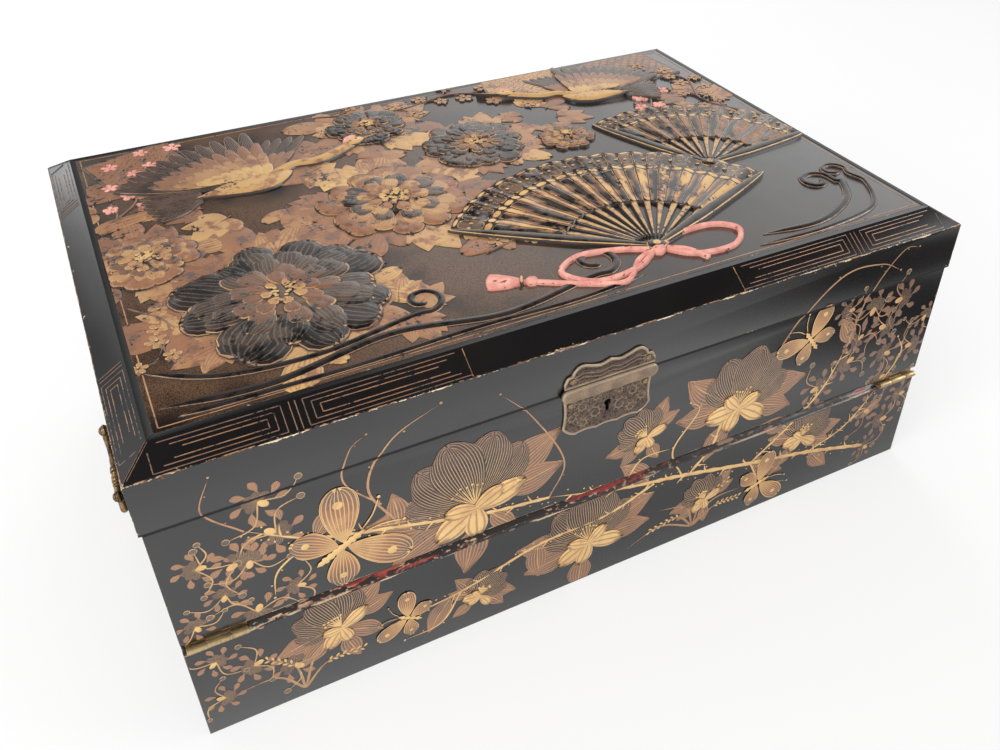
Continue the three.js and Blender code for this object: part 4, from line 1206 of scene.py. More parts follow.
# %% [markdown]
# ## Blossoms
# Large petals are ruled with fine pale rays. Solid gold lies in front, where a petal folds over.
# %% Blossoms
FOLDS = [(math.pi + 0.35, 0.62, 0.44), (-0.25, 0.68, 0.4), (-1.9, 0.5, 0.36), (math.pi - 0.3, 0.42, 0.3),
         (0.35, 0.46, 0.3)]


def rayed_flower(picture, x, y, radius, turn, folds=5):
    """A large blossom seen from the side: leaves behind, lobed petals whose rays fade towards a brown
    rim, stamens, and lumps of solid gold."""
    for angle, size in ((2.75, 0.95), (3.3, 0.8), (0.35, 0.95), (-0.15, 0.8), (-1.9, 0.75)):
        way = turn + angle
        veined_leaf(picture, *polar(x, y, way, radius * 0.35), way, radius * size, 0.62, 0.04,
                    random.uniform(-0.3, 0.3))
    rays = 3 + int(radius * 0.42)
    shapes = ((2.55, 0.86), (0.55, 0.9), (2.05, 0.98), (1.1, 1.0), (1.55, 1.04))
    for index, (angle, size) in enumerate(shapes):
        length = radius * size
        petals(picture, x, y, turn + angle, length, length * 0.78, "petal", bend=random.uniform(-0.15, 0.15),
               height=0.05, lift=0.1 + index * 0.03, lobes=3, depth=0.1, steps=(16, 24), tone=(0.97, 0.84),
               count=rays, vein=(1.0, 0.6), vein_tone=0.06, rim_width=0.3, rim=0.5, gilt=1.2)
    for angle in turn + np.linspace(1.0, 2.2, 7):
        tip = polar(x, y, angle, radius * random.uniform(0.25, 0.4))
        stroke(picture, [(x, y), tip], 0.8, count=5, ends=(0, 0.3), height=0.1, lift=0.3, tone=GOLD)
        dots(picture, *tip, 1.5, height=0.3, lift=0.3, tone=GOLD)
    for index, (angle, length, width) in enumerate(FOLDS[:folds]):
        way = turn + angle + random.uniform(-0.15, 0.15)
        root = polar(x, y - radius * 0.05, way, -radius * 0.06)
        petals(picture, *root, way, radius * length, radius * width, "petal", bend=random.uniform(-0.5, 0.5),
               height=0.5, lift=0.25 + index * 0.08, lobes=5, depth=0.16, steps=(12, 14), tone=0.03,
               count=3, vein=0.8, vein_tone=0.42, rim_width=0.3, rim=COPPER, gilt=1.15)


def little_flowers(picture, x, y, size, dull=0.0):
    """Small rayed blossoms, each with a ring of drop-shaped leaflets, a lump of gold, and two thin
    stalks that curl round and end in a ringed bud. A dull one has more copper and less gold."""
    for px, py, r in zip(x, y, size):
        turn = random.uniform(0, FULL)
        for side in (-1, 1):
            way = turn + math.pi + side * random.uniform(0.5, 1.1)
            reach = r * random.uniform(1.5, 2.1)
            bud = polar(px, py, way + side * 0.5, reach)
            stroke(picture, [(px, py), polar(px, py, way, reach * 0.6), bud], 0.8, count=14, ends=(0, 0.3),
                   height=0.1, lift=0.08, columns=2, tone=PALE + dull)
            dots(picture, *bud, r * 0.34, height=0.15, lift=0.1, tone=SMOKE, rim_width=0.35, rim=GOLD)
        around = turn + np.arange(7) * FULL / 7 + random.uniform(-0.12, 0.12, 7)
        rim = dict(rim_width=0.18, rim=TAN + dull)
        petals(picture, *polar(px, py, around, r * 0.52), around + 0.2, r * 0.66, r * 0.36, "drop", bend=0.7,
               height=0.06, lift=0.06, steps=(8, 5), tone=COPPER + dull, count=4, vein=0.8,
               vein_tone=PALE + dull, **rim)
        petals(picture, px, py, turn + np.linspace(-1.5, 1.5, 5), r * 0.62, r * 0.46, "petal", height=0.05,
               lift=0.08, steps=(8, 10), tone=(0.95, 0.84), count=6, vein=(1.0, 0.6), vein_tone=0.08 + dull,
               **rim)
        petals(picture, px, py, turn + math.pi, r * 0.5, r * 0.34, "round", height=0.3, lift=0.13,
               steps=(6, 5), tone=GOLD + dull)


print("blossoms ready")

# %% [markdown]
# ## Butterflies and grasses
# A butterfly is drawn in its own millimetres, head towards +x, and placed by a `Spot`.
# %% Butterflies and grasses


def butterfly(picture, *place):
    """Two pairs of wings with ruled veins and spots, a ringed body and two feelers."""
    spot = Spot(*place)
    wings = dict(count=9, vein=0.8, vein_tone=0.05, height=0.06, steps=(14, 14), rim_width=0.45, rim=GOLD)
    for side in (-1, 1):
        spot.petals(picture, 0, side, side * 2.15, 15, 12, "petal", lift=0.42, lobes=3, depth=0.12,
                    tone=(0.2, 0.75), **wings)
        spot.petals(picture, 2, side, side * 1.05, 22, 14, "petal", lift=0.45, lobes=2, depth=0.08,
                    tone=(0.12, 0.7), **wings)
        for x, y, size, lift in ((9.5, 15, 3.4, 0.48), (-6, 10, 2.6, 0.47)):
            spot.dots(picture, x, side * y, size, height=0.2, lift=lift, tone=GOLD)
        feeler = [(8, side * 0.6), (14, side * 3), (19, side * 7)]
        spot.stroke(picture, feeler, 0.6, count=12, height=0.1, lift=0.42)
        spot.dots(picture, 19.3, side * 7.3, 1.3, height=0.15, lift=0.42)
    spot.stroke(picture, [(-9, 0), (0, 0), (9, 0)], 3.2, count=30, height=0.6, lift=0.47, beads=3, tone=0.05)


def grasses(picture, x, y, angles, length):
    """Arching blades from one root, some with a row of seeds."""
    for index, angle in enumerate(angles):
        reach = length * random.uniform(0.7, 1.1)
        droop = random.uniform(0.5, 0.9) * (1 if math.cos(angle) < 0 else -1)
        knots = [(x, y), polar(x, y, angle, reach * 0.55), polar(x, y, angle + droop * 0.55, reach)]
        stroke(picture, knots, 1.5, count=26, ends=(0.05, 0.8), height=0.1, lift=0.06, tone=TAN,
               rim_width=0.15, rim=PALE)
        if index % 2:
            points, heading, _ = curve_through(knots, 22)
            lean = heading[10:] + np.where(np.arange(12) % 2, 1, -1) * 0.6
            petals(picture, *points[10:].T, lean, 3.4, 1.5, "drop", height=0.14, lift=0.08, steps=(5, 4),
                   tone=GOLD)


print("front motifs ready")

# %% [markdown]
# ## Composing the front
# One branch climbs from the lower right to the upper left and carries three large blossoms, with
# butterflies over it and grasses below. Little flowers fill both ends, and a few tendrils run over
# the lid's edge. The picture is drawn once across sill, drop front and lid, then cut into three meshes
# at the splits, so that each part carries its own share when it moves.
# %% Front picture
front = Picture()
STEMS = [
    ([(186, 16), (140, 30), (96, 40), (48, 52), (10, 60), (-34, 74)], 3.6, 16),
    ([(-34, 74), (-70, 80), (-112, 92), (-150, 104), (-178, 122)], 2.8, 14),
    ([(52, 50), (66, 66), (72, 82), (92, 96)], 2.6, 8),
    ([(96, 40), (120, 58), (140, 78), (152, 104)], 2.4, 9),
    ([(30, 54), (0, 44), (-40, 42), (-84, 30), (-126, 26)], 2.6, 12),
    ([(140, 30), (166, 40), (186, 62)], 2.0, 6),
]
GRASSES = [(60, 6, [2.7, 2.3, 1.9, 1.3, 0.9, 0.6], 44), (-168, 5, [2.2, 1.7, 1.2, 0.8], 40)]
VEINED = [(26, 58, 2.2, 26), (98, 42, -0.8, 30), (142, 30, -1.0, 24), (-40, 43, -1.7, 26),
          (-90, 28, -2.3, 24), (120, 58, 2.6, 24), (-112, 92, 1.5, 22), (-150, 104, 0.9, 20),
          (-66, 79, -1.0, 22), (76, 88, 2.7, 20), (154, 106, 1.9, 22), (-126, 26, 2.5, 22),
          (172, 44, 0.2, 22)]
FLOWERS = [(-74, 88, 42, 0.25), (80, 90, 35, -0.2), (-10, 30, 34, 0.1), (-146, 40, 25, 0.5, 4),
           (132, 46, 23, -0.4, 4), (22, 92, 19, 0.7, 4), (-74, 22, 17, -0.6, 4), (66, 26, 18, 0.4, 4)]
# Each cluster of little flowers has a place and a number.
CLUSTERS = [(-186, 86, 6), (190, 92, 5), (-190, 30, 4), (190, 34, 4), (168, 120, 4), (-170, 120, 3),
            (152, 86, 2)]
BUTTERFLIES = [(-140, 92, 0.5, 1.5), (124, 118, 2.2, 0.95), (104, 20, 0.3, 1.0), (-112, 26, 2.6, 0.8)]
TENDRILS = [
    ([(-112, 94), (-124, 122), (-112, 146), (-88, 158)], 1.3, TAN),
    ([(-119, 110), (-134, 130), (-130, 148), (-122, 154)], 1.0, TAN),
    ([(-34, 74), (-26, 96), (-44, 132), (-60, 152)], 1.0, TAN),
    ([(92, 96), (110, 132), (136, 156), (162, 156), (178, 148)], 1.2, TAN),
    ([(152, 104), (160, 138), (176, 160), (188, 160)], 1.0, TAN),
    ([(-178, 122), (-192, 140), (-186, 158)], 1.0, TAN),
    ([(48, 52), (40, 74), (54, 96), (48, 104)],), ([(-150, 104), (-168, 92), (-172, 76)],),
    ([(10, 60), (20, 76), (40, 76)],), ([(96, 40), (108, 20), (128, 12)],),
    ([(-84, 30), (-96, 12), (-116, 10)],), ([(186, 62), (198, 84), (192, 98)],),
]
for motif, rows in ((stem, STEMS), (grasses, GRASSES), (veined_leaf, VEINED), (rayed_flower, FLOWERS)):
    for row in rows:
        motif(front, *row)
for x, y, count in CLUSTERS:
    turn = random.uniform(0, FULL) + np.arange(count) * 2.4
    away = 6.5 + 9.5 * np.sqrt(np.arange(count))
    little_flowers(front, *polar(x, y, turn, away), random.uniform(8, 12, count), 0.14 if x > 100 else 0)
for motif, rows in ((butterfly, BUTTERFLIES), (tendril, TENDRILS)):
    for row in rows:
        motif(front, *row)
print("points in the front picture:", front.count)

# %% [markdown]
# ## Cutting the front at the splits
# Each window is a rectangle (left, right, low, high) on the front, and a mesh keeps what lies in it.
# %% Sill, drop front and lid band
CASE_FRONT, LID_FRONT, CASE_SIDE = -146.0, -147.2, 215.0
SHARES = [("sill", CASE_FRONT, (-214.4, 214.4, 0.6, 60.6), "case"),
          ("drop_front", CASE_FRONT, (-214.4, 214.4, 67.7, 137.4), "fall"),
          ("lid_band", LID_FRONT, (-215.6, 215.6, 139.5, 165.2), "lid")]


def front_plane(y):
    """A plane that faces the front at this y: its corner, its right way and its up way."""
    return (0, y, 0), (1, 0, 0), (0, 0, 1)


for name, y, window, body in SHARES:
    mesh = front.mesh(name + "_picture", front_plane(y), window)
    add_piece(mesh, painted_gold, body)

# %% [markdown]
# ## The sides
# The photograph hides both ends of the box, so their pictures are a guess: the front's plants again, in
# one branch that keeps clear of the handle. The second side is drawn anew, so it isn't a mirror image.
# %% Side pictures
SIDE_STEMS = [
    ([(-118, 12), (-78, 24), (-36, 14), (20, 12), (70, 22), (112, 50)], 2.6, 14),
    ([(-78, 24), (-100, 56), (-88, 92), (-52, 122)], 2.4, 10),
    ([(112, 50), (116, 80), (92, 116)], 2.2, 8),
]
SIDE_LEAVES = [(-110, 40, 2.4, 26), (-96, 92, 1.9, 22), (-50, 18, 0.9, 24), (40, 14, 0.8, 24),
               (74, 24, 1.9, 26), (112, 78, 2.6, 22), (-62, 116, -0.4, 22), (14, 12, 2.2, 20)]
SIDE_TENDRILS = [[(-52, 122), (-30, 132), (-8, 128)], [(92, 116), (70, 130), (44, 128)]]
SIDE_WINDOW = (-126, 126, 0.8, 137.2)


def side_picture(way):
    """Blossoms on a branch that climbs at both ends of a side, turned over left to right by way."""
    picture = Picture()
    for knots, width, thorns in SIDE_STEMS:
        stem(picture, [(way * x, z) for x, z in knots], width, thorns)
    for x, z, angle, size in SIDE_LEAVES:
        veined_leaf(picture, way * x, z, angle if way > 0 else math.pi - angle, size)
    rayed_flower(picture, way * -86, 72, 29, 0.3 * way)
    rayed_flower(picture, way * 84, 86, 27, -0.3 * way)
    rayed_flower(picture, way * 4, 24, 17, 0.2, 4)
    for x, z in ((-34, 112), (-16, 124), (58, 118), (74, 52), (-122, 108)):
        little_flowers(picture, [way * x], [z], random.uniform(8, 11, 1))
    butterfly(picture, way * 16, 102, 0.5, 0.9)
    for knots in SIDE_TENDRILS:
        tendril(picture, [(way * x, z) for x, z in knots], 1.1)
    return picture


for name, way in (("left", -1), ("right", 1)):
    plane = (way * CASE_SIDE, 0, 0), (0, way, 0), (0, 0, 1)
    add_piece(side_picture(way).mesh("side_picture_" + name, plane, SIDE_WINDOW), painted_gold, "case")

# %% [markdown]
# ## Key fret on the bevel
# The bevelled border has a traditional key fret in thin copper and gold lines, half rubbed away. It is
# a set of nested open rectangles. Each side is drawn flat, and its mesh is then laid on the slope.
# %% Fret
BEVEL_RUN, BEVEL_RISE, BEVEL_FOOT = 12.8, 8.1, 165.8
SLOPE = math.hypot(BEVEL_RUN, BEVEL_RISE)
LONG, SHORT = 216.2, 147.2
SIDES = (("front", LONG, SHORT), ("right", SHORT, LONG), ("back", LONG, SHORT), ("left", SHORT, LONG))


def line(picture, x0, y0, x1, y1, width=0.5, tone=COPPER, gilt=0.75):
    """A straight worn line between two points."""
    count = max(4, int(math.hypot(x1 - x0, y1 - y0) / 5))
    stroke(picture, [(x0, y0), (x1, y1)], width, count=count, ends=(0, 0), height=0.12, lift=0.02,
           columns=2, tone=tone, gilt=gilt)


def hooks(picture, x0, x1, gilt):
    """Nested rectangles between two places, each inside the last, all open at the x0 end but the outer."""
    way = 1 if x1 > x0 else -1
    for loop in range(3):
        inset = loop * 2.0
        start, end = x0 + way * inset * 2.2, x1 - way * inset * 1.6
        low, high = 1.6 + inset, 13.4 - inset
        look = dict(tone=0.62 - 0.1 * loop)
        line(picture, start, low, end, low, gilt=gilt, **look)
        line(picture, end, low, end, high, gilt=gilt + 0.1, **look)
        line(picture, end, high, start + way * 4, high, gilt=gilt - 0.04, **look)
    line(picture, x0, 1.6, x0, 10.4, tone=0.62, gilt=gilt)


def fret_side(half):
    """The fret of one side, whose half length tells a long side from a short one."""
    fret = Picture()
    gilt = 0.68 if half == LONG else 0.56
    for way in (-1, 1):
        corner = way * (half - 12)
        hooks(fret, corner, corner - way * 52, gilt)
        for away in (55.5, 58):
            line(fret, corner - way * away, 1.2, corner - way * away, 13.8, gilt=gilt + 0.2)
        if half == LONG:
            hooks(fret, corner - way * 132, corner - way * 61, gilt)
            line(fret, corner - way * 132, 0.8, corner - way * 132, 14.2, tone=TAN, gilt=0.95)
        mitre = way * (half - 0.9), 0.3, way * (half - BEVEL_RUN - 0.2), SLOPE - 0.5
        line(fret, *mitre, 0.32, gilt=0.55)
    line(fret, -half + 1, 0.35, half - 1, 0.35, 0.45, tone=0.3, gilt=0.46)
    return fret


for number, (name, half, across) in enumerate(SIDES):
    angle = number * math.pi / 2
    turn = np.array(((math.cos(angle), math.sin(angle)), (-math.sin(angle), math.cos(angle))))
    corner = (*((0, -across) @ turn), BEVEL_FOOT)
    right_way = (*((1, 0) @ turn), 0)
    up_way = (*((0, BEVEL_RUN / SLOPE) @ turn), BEVEL_RISE / SLOPE)
    mesh = fret_side(half).mesh("fret_" + name, (corner, right_way, up_way), (-half, half, 0, SLOPE))
    add_piece(mesh, painted_gold, "lid")
border = Picture()
for way in (-1, 1):
    line(border, -198, way * 129, 198, way * 129, 0.7, TAN)
    line(border, way * 198, -129, way * 198, 129, 0.7, TAN)
add_piece(border.mesh("lid_border_line", top_plane, top_window), painted_gold, "lid")

# %% [markdown]
# ## Brass
# The lock plates are engraved and have turned brown, the handles have dark hollows and bright high
# spots, and the hinges are still pale gold. One function makes all three from a bright and a dark
# colour, which noise and the depth of the surface mix.
# %% Brass, steel and their wear


def brass(name, bright, dull, rough, grain, age, metallic=0.85):
    """Old brass: dull patches and pits over a bright metal, more of them with more age."""
    finish = Finish(name)
    patch = finish.noise(140, 4)
    pits = finish.noise(grain, 3, 0.7)
    cavity = finish.node("NewGeometry", output=7).step(0.47, 0.53)
    darkening = (patch * 0.6 + pits * 0.4 + age * 0.3 - cavity * 0.25 - 0.02).step(0.36, 0.68)
    color = finish.mix(darkening, bright, dull)
    spot = (pits - 0.66).step(0, 0.06)
    color = finish.mix(spot, color, srgb(44, 36, 28))
    normal = finish.bump(pits * 0.6 - spot * 0.6 + patch * 0.5, 0.3, 0.0002)
    rough = rough + darkening * 0.18 + spot * 0.15
    return finish.set(Base_Color=color, Metallic=metallic, Roughness=rough, Normal=normal)


hinge_brass = brass("hinge_brass", srgb(214, 186, 140), srgb(88, 68, 48), 0.34, 700, 0.62)
handle_brass = brass("handle_brass", srgb(192, 158, 116), srgb(44, 34, 26), 0.26, 800, 0.9, 0.95)
nail_brass = brass("nail_brass", srgb(168, 142, 108), srgb(92, 76, 58), 0.4, 800, 0.5)
lock_steel = brass("lock_steel", srgb(150, 148, 144), srgb(92, 88, 84), 0.36, 1000, 0.4)


def engraved_brass():
    """Brown brass with stippled ground: dark punch dots inside the rim, and a smooth rim with a painted
    pale highlight along its rounded edge.
    """
    finish = Finish("engraved_lock_brass")
    inner = finish.node("Attribute", output=2, attribute_name="inner")
    patch = finish.noise(120, 4)
    punch = finish.node("TexVoronoi", {"Vector": finish.place(), "Scale": 850.0}, feature="F1")
    swirl = finish.noise(300, 3, 0.6)
    scroll = (swirl * 24).sine().step(-0.3, 0.6)
    dots_mask = punch.step(0.55, 0.3) * inner
    ground = finish.mix(patch.step(0.35, 0.7), srgb(158, 134, 112), srgb(124, 105, 90))
    ground = finish.mix(inner * 0.7, ground, srgb(78, 66, 59))
    color = finish.mix(dots_mask * (0.3 + scroll * 0.65), ground, srgb(40, 34, 31))
    color = finish.mix((finish.noise(1400, 3) - 0.56).step(0, 0.08) * 0.5, color, srgb(70, 58, 50))
    # Painted highlight: a pale line along the convex edge of the rim.
    ridge = finish.node("NewGeometry", output=7).step(0.515, 0.56) * (1 - inner)
    color = finish.mix(ridge * 0.7, color, srgb(212, 194, 168))
    height = (1 - dots_mask) * 0.6 + scroll * 0.5 * inner
    finish.set(Base_Color=color, Metallic=0.55, Roughness=0.36 + dots_mask * 0.2)
    return finish.set(Normal=finish.bump(height, 0.6, 0.0002))


def cut_brass():
    """Engraved strokes: low tones are pale brass left standing, high tones are dark cuts."""
    finish = Finish("engraved_strokes")
    tone = finish.node("Attribute", output=2, attribute_name="tone")
    speck = finish.noise(900, 3, 0.6)
    shade = (tone + (speck - 0.5) * 0.5).step(0.35, 0.75)
    color = finish.mix(shade, srgb(136, 116, 98), srgb(44, 37, 33))
    normal = finish.bump(speck, 0.4, 0.0002)
    return finish.set(Base_Color=color, Metallic=0.5, Roughness=0.42, Normal=normal)


lock_brass = engraved_brass()
lock_strokes = cut_brass()
print("brasses ready")

# %% [markdown]
# ## Outlines and rings
# A plate is an outline of lobes, carried inwards in rings: up the side, over a rounded edge, across a
# flat rim and down into a shallow field. The thick bar is made the same way with a larger rounding.
# %% Plates with lobed outlines
LOCK_X = -3.4
LOBE_STEPS = 12


def lobed_outline(corners):
    """A closed outline. From a corner a to the next corner b it runs in equal lobes, each the curve
    (1 - f)^2 a + 2 f (1 - f) m + f^2 b, where m is the middle pushed aside by twice the bulge."""
    points = []
    f = np.arange(LOBE_STEPS)[:, None] / LOBE_STEPS
    for index, (x, z, _, _) in enumerate(corners):
        far_x, far_z, lobes, bulge = corners[(index + 1) % len(corners)]
        step = np.array((far_x - x, far_z - z)) / lobes
        aside = np.array((-step[1], step[0])) / np.hypot(*step) * 2 * bulge
        for lobe in range(lobes):
            a = np.array((x, z)) + step * lobe
            b = a + step
            middle = (a + b) / 2 + aside
            points.append((1 - f) ** 2 * a + 2 * f * (1 - f) * middle + f ** 2 * b)
    return np.concatenate(points)


def inset(outline, distance):
    """The outline moved inwards along its normals, which are the turned directions of its chords."""
    chord = np.roll(outline, -1, 0) - np.roll(outline, 1, 0)
    normal = np.stack((chord[:, 1], -chord[:, 0]), -1) / np.linalg.norm(chord, axis=1)[:, None]
    sign = np.sign(((outline - outline.mean(0)) * normal).sum())
    return outline - normal * sign * distance


def ringed(name, outline, rings):
    """A closed solid facing -Y: the outline at each ring's inset and depth, with the ends capped.
    The attribute inner is 1 on the last two rings and 0 on the others."""
    many = len(outline)
    flat = [(inset(outline, away), y) for away, y in rings]
    points = np.concatenate([np.stack((ring[:, 0], np.full(many, y), ring[:, 1]), -1) for ring, y in flat])
    index = np.arange(len(points)).reshape(len(rings), many)
    after = np.roll(index, -1, 1)
    sides = np.stack((index[:-1], after[:-1], after[1:], index[1:]), -1).reshape(-1, 4).tolist()
    mesh = bpy.data.meshes.new(name)
    mesh.from_pydata(points * MM, [], sides + [index[0][::-1].tolist(), index[-1].tolist()])
    field = np.repeat(np.arange(len(rings)) >= len(rings) - 2, many).astype(np.float32)
    mesh.attributes.new("inner", "FLOAT", "POINT").data.foreach_set("value", field)
    return remade(name, [mesh], weld=False, outward=True)


print("outlines and rings ready")

# %% [markdown]
# ## Lock plates
# The keyhole goes through the lower plate by an exact Boolean. The bar at the top of that plate laps
# over the lid's edge, and a seat behind it joins the two.
# %% Lock plates
BAR_REACH, BAR_LOW, BAR_HIGH = 26.2, 134.8, 141.9
LOWER_RIM, UPPER_RIM, FIELD_DEPTH = -147.2, -148.4, 0.2
KEY_Z, KEY_RADIUS, SLOT_Z, SLOT_HALF = 125.4, 1.9, 120.0, 1.0
HALF_WIDE, HALF_FOOT, TOP_Z, WAIST_Z, FOOT_Z, BULGE = 24.6, 17.6, 135.8, 117.0, 111.4, 0.9
CREST = np.array([(24.6, 142.2), (24.8, 145.6), (23.2, 148.6), (20.9, 149.4), (19.9, 151.4), (17.2, 153.7),
                  (14.0, 154.0), (9.6, 152.5), (5.4, 151.6), (2.0, 152.4), (0.0, 153.1)])
BAR_RINGS = [(0, -147.5), (0, -149.2), (0.12, -149.55), (0.42, -149.83), (0.9, -149.97), (1.6, -150.0)]


def plate_rings(back, front):
    """A flat plate: a small rounded edge, a rim and a sunk field."""
    return [(0, back), (0, front + 0.3), (0.09, front + 0.09), (0.3, front), (1.2, front),
            (1.5, front + 0.18), (1.7, front + FIELD_DEPTH)]


def cut_keyhole(mesh, name):
    """The mesh with a keyhole through it, a circle with a slot below. The new points round the hole
    belong to the sunk field, so their inner number is 1."""
    angle = np.linspace(-0.9, math.pi + 0.9, 26)
    circle = np.stack(polar(LOCK_X, KEY_Z, angle, KEY_RADIUS), -1)
    outline = np.concatenate((circle, [(LOCK_X - SLOT_HALF, SLOT_Z), (LOCK_X + SLOT_HALF, SLOT_Z)]))
    result = combined(mesh, name, [ringed("keyhole_cutter", outline, [(0, -144.0), (0, -149.0)])],
                      "DIFFERENCE")
    places = np.empty(len(result.vertices) * 3, np.float32)
    result.vertices.foreach_get("co", places)
    x, _, z = places.reshape(-1, 3).T / MM
    inner = np.empty(len(x), np.float32)
    result.attributes["inner"].data.foreach_get("value", inner)
    inner[(np.abs(x - LOCK_X) < 3) & (np.abs(z - 123) < 6)] = 1
    result.attributes["inner"].data.foreach_set("value", inner)
    return result


def stadium(name, reach, low, high, rings):
    """A ringed solid whose outline is a rectangle with half-round ends."""
    radius = (high - low) / 2
    right = np.linspace(-math.pi / 2, math.pi / 2, 22)
    arcs = [np.stack(polar(LOCK_X + way * (reach - radius), (low + high) / 2, angle, radius), -1)
            for way, angle in ((1, right), (-1, right + math.pi))]
    mesh = ringed(name, np.concatenate(arcs), rings)
    mesh.attributes.remove(mesh.attributes["inner"])
    return mesh


corners = [(LOCK_X - HALF_WIDE, TOP_Z, 1, -BULGE), (LOCK_X + HALF_WIDE, TOP_Z, 1, 0),
           (LOCK_X + HALF_WIDE, WAIST_Z, 1, -BULGE), (LOCK_X + HALF_FOOT, FOOT_Z, 1, BULGE),
           (LOCK_X - HALF_FOOT, FOOT_Z, 3, -BULGE), (LOCK_X - HALF_WIDE, WAIST_Z, 1, BULGE)]
half_crest = np.concatenate((CREST[:1], curve_through(CREST[1:], 40)[0]))
crest_outline = np.concatenate((half_crest[:-1], (half_crest * (-1, 1))[::-1])) + (LOCK_X, 0)
lower = cut_keyhole(ringed("lower", lobed_outline(corners), plate_rings(CASE_FRONT, LOWER_RIM)), "lower")
bar = stadium("bar", BAR_REACH, BAR_LOW, BAR_HIGH, BAR_RINGS)
seat = stadium("seat", BAR_REACH - 4, BAR_LOW + 0.2, 138.0, [(0, -147.0), (0, -147.7)])
lower = remade("lock_plate_lower_engraved", [lower, bar, seat], weld=False)
upper = ringed("lock_plate_upper_engraved", crest_outline, plate_rings(LID_FRONT, UPPER_RIM))
for mesh, body, node in ((lower, "fall", "lock_plate_lower"), (upper, "lid", "lock_plate_upper")):
    plate = add_piece(mesh, lock_brass, body, False, [node])
    plate.modifiers.new("smooth", "WEIGHTED_NORMAL")
    print(node, len(mesh.polygons), "faces")

# %% [markdown]
# ## Engraving
# The engraver's lines are worn scrolls round the keyhole and rows of short cuts that fan out on the
# upper plate. They are strokes, like the painted ones, in dark and pale brass.
# %% Engraving
STANDING = dict(height=0.16, lift=0.0, columns=3, tone=0.2)
# Each scroll has a place, its first angle, its way round and its size.
SCROLLS = ((7.2, 121.5, 0.4, 1, 3.9), (13.6, 127.6, 2.6, -1, 3.4), (13.5, 117.2, 0.2, 1, 3.0),
           (19.8, 122.6, 1.8, 1, 2.8), (6.4, 130.6, 3.4, -1, 2.2), (19.6, 130.6, 0.6, 1, 2.0))
engraved_lower, engraved_upper = Picture(), Picture()


def cuts(picture, x, z, angle, length, width, lift=0.0):
    """Short dark cuts, each a narrow leaf."""
    petals(picture, x, z, angle, length, width, "leaf", lift=lift, height=0.05, steps=(4, 3), tone=0.95)


def acanthus(picture, way, x, z, start, turn, size):
    """A scroll to one side of the plate's middle, with short leaves along its outside and dark cuts
    between them."""
    turn = turn * way
    knots = spiral(LOCK_X + way * x, z, start if way > 0 else math.pi - start, turn, size, 1.2)
    stroke(picture, knots, 0.8, count=34, ends=(0.2, 0.3), **STANDING)
    points, heading, _ = curve_through(knots, 11)
    x, z, outward = *points[:8].T, heading[:8] - turn * 1.0
    petals(picture, x, z, outward, np.linspace(2.4, 1.2, 8), 0.95, "leaf", bend=turn * 0.8, height=0.14,
           steps=(5, 3), tone=0.25)
    cuts(picture, x, z, outward - turn * 0.5, 1.5, 0.35, 0.02)


for way in (-1, 1):
    for row in SCROLLS:
        acanthus(engraved_lower, way, *row)
around = np.linspace(-2.95, -0.2, 44)
cuts(engraved_lower, LOCK_X + 21.6 * np.cos(around), 124.5 + 11.6 * np.sin(around), around, 1.5, 0.4)
around = np.linspace(0, FULL, 14, endpoint=False)
cuts(engraved_lower, LOCK_X + 3.2 * np.cos(around), 124.2 + 4.4 * np.sin(around), around, 1.4, 0.4)
across = np.linspace(-18.4, 18.4, 56)
crest = np.interp(np.abs(across), CREST[::-1, 0], CREST[::-1, 1]) - 2.6
for drop, length, lean in ((0.0, 2.0, 0.25), (3.0, 1.7, -0.25), (5.0, 1.3, 0.25)):
    cuts(engraved_upper, LOCK_X + across, crest - drop - 1.0, math.pi / 2 - np.sign(across) * lean, length,
         0.42)
for way in (-1, 1):
    acanthus(engraved_upper, way, 20.2, 146.4, 0.5, 1, 2.0)
for drop in (2.2, 4.4):
    knots = np.stack((LOCK_X + across[::5], crest[::5] - drop), -1)
    stroke(engraved_upper, knots, 0.45, count=70, ends=(0, 0), **STANDING)
for picture, name, face, body in ((engraved_lower, "lower", LOWER_RIM + FIELD_DEPTH, "fall"),
                                  (engraved_upper, "upper", UPPER_RIM + FIELD_DEPTH, "lid")):
    mesh = picture.mesh("lock_engraving_" + name, front_plane(face), (-300, 300, 0, 300))
    add_piece(mesh, lock_strokes, body)

# %% [markdown]
# ## Turned brass
# Nails, posts and bails are turned, so each is a profile carried round or along an axis.
# %% Nails
RING_STEPS, NAIL_RADIUS = 28, 1.4


def swept(name, middle, aside, radius, steps=RING_STEPS):
    """A tube: the ring at each point of the middle line is radius * (cos a * aside + sin a * across),
    where across is square to the line and to aside. The ends close to points. A number in the middle
    line stands for that number at every point."""
    middle = np.stack(np.broadcast_arrays(*(np.asarray(value, float) for value in middle)), -1)
    ahead = np.gradient(middle, axis=0)
    ahead /= np.linalg.norm(ahead, axis=1)[:, None]
    aside = np.broadcast_to(np.asarray(aside, float), middle.shape)
    across = np.cross(ahead, aside)
    angle = np.linspace(0, FULL, steps, endpoint=False)[None, :, None]
    around = np.cos(angle) * aside[:, None] + np.sin(angle) * across[:, None]
    points = middle[:, None] + np.asarray(radius, float)[:, None, None] * around
    index = np.arange(len(middle) * steps).reshape(len(middle), steps)
    after = np.roll(index, -1, 1)
    quads = np.stack((index[:-1], index[1:], after[1:], after[:-1]), -1).reshape(-1, 4)
    mesh = bpy.data.meshes.new(name)
    mesh.from_pydata(points.reshape(-1, 3) * MM, [], quads)
    return remade(name, [mesh], outward=True)


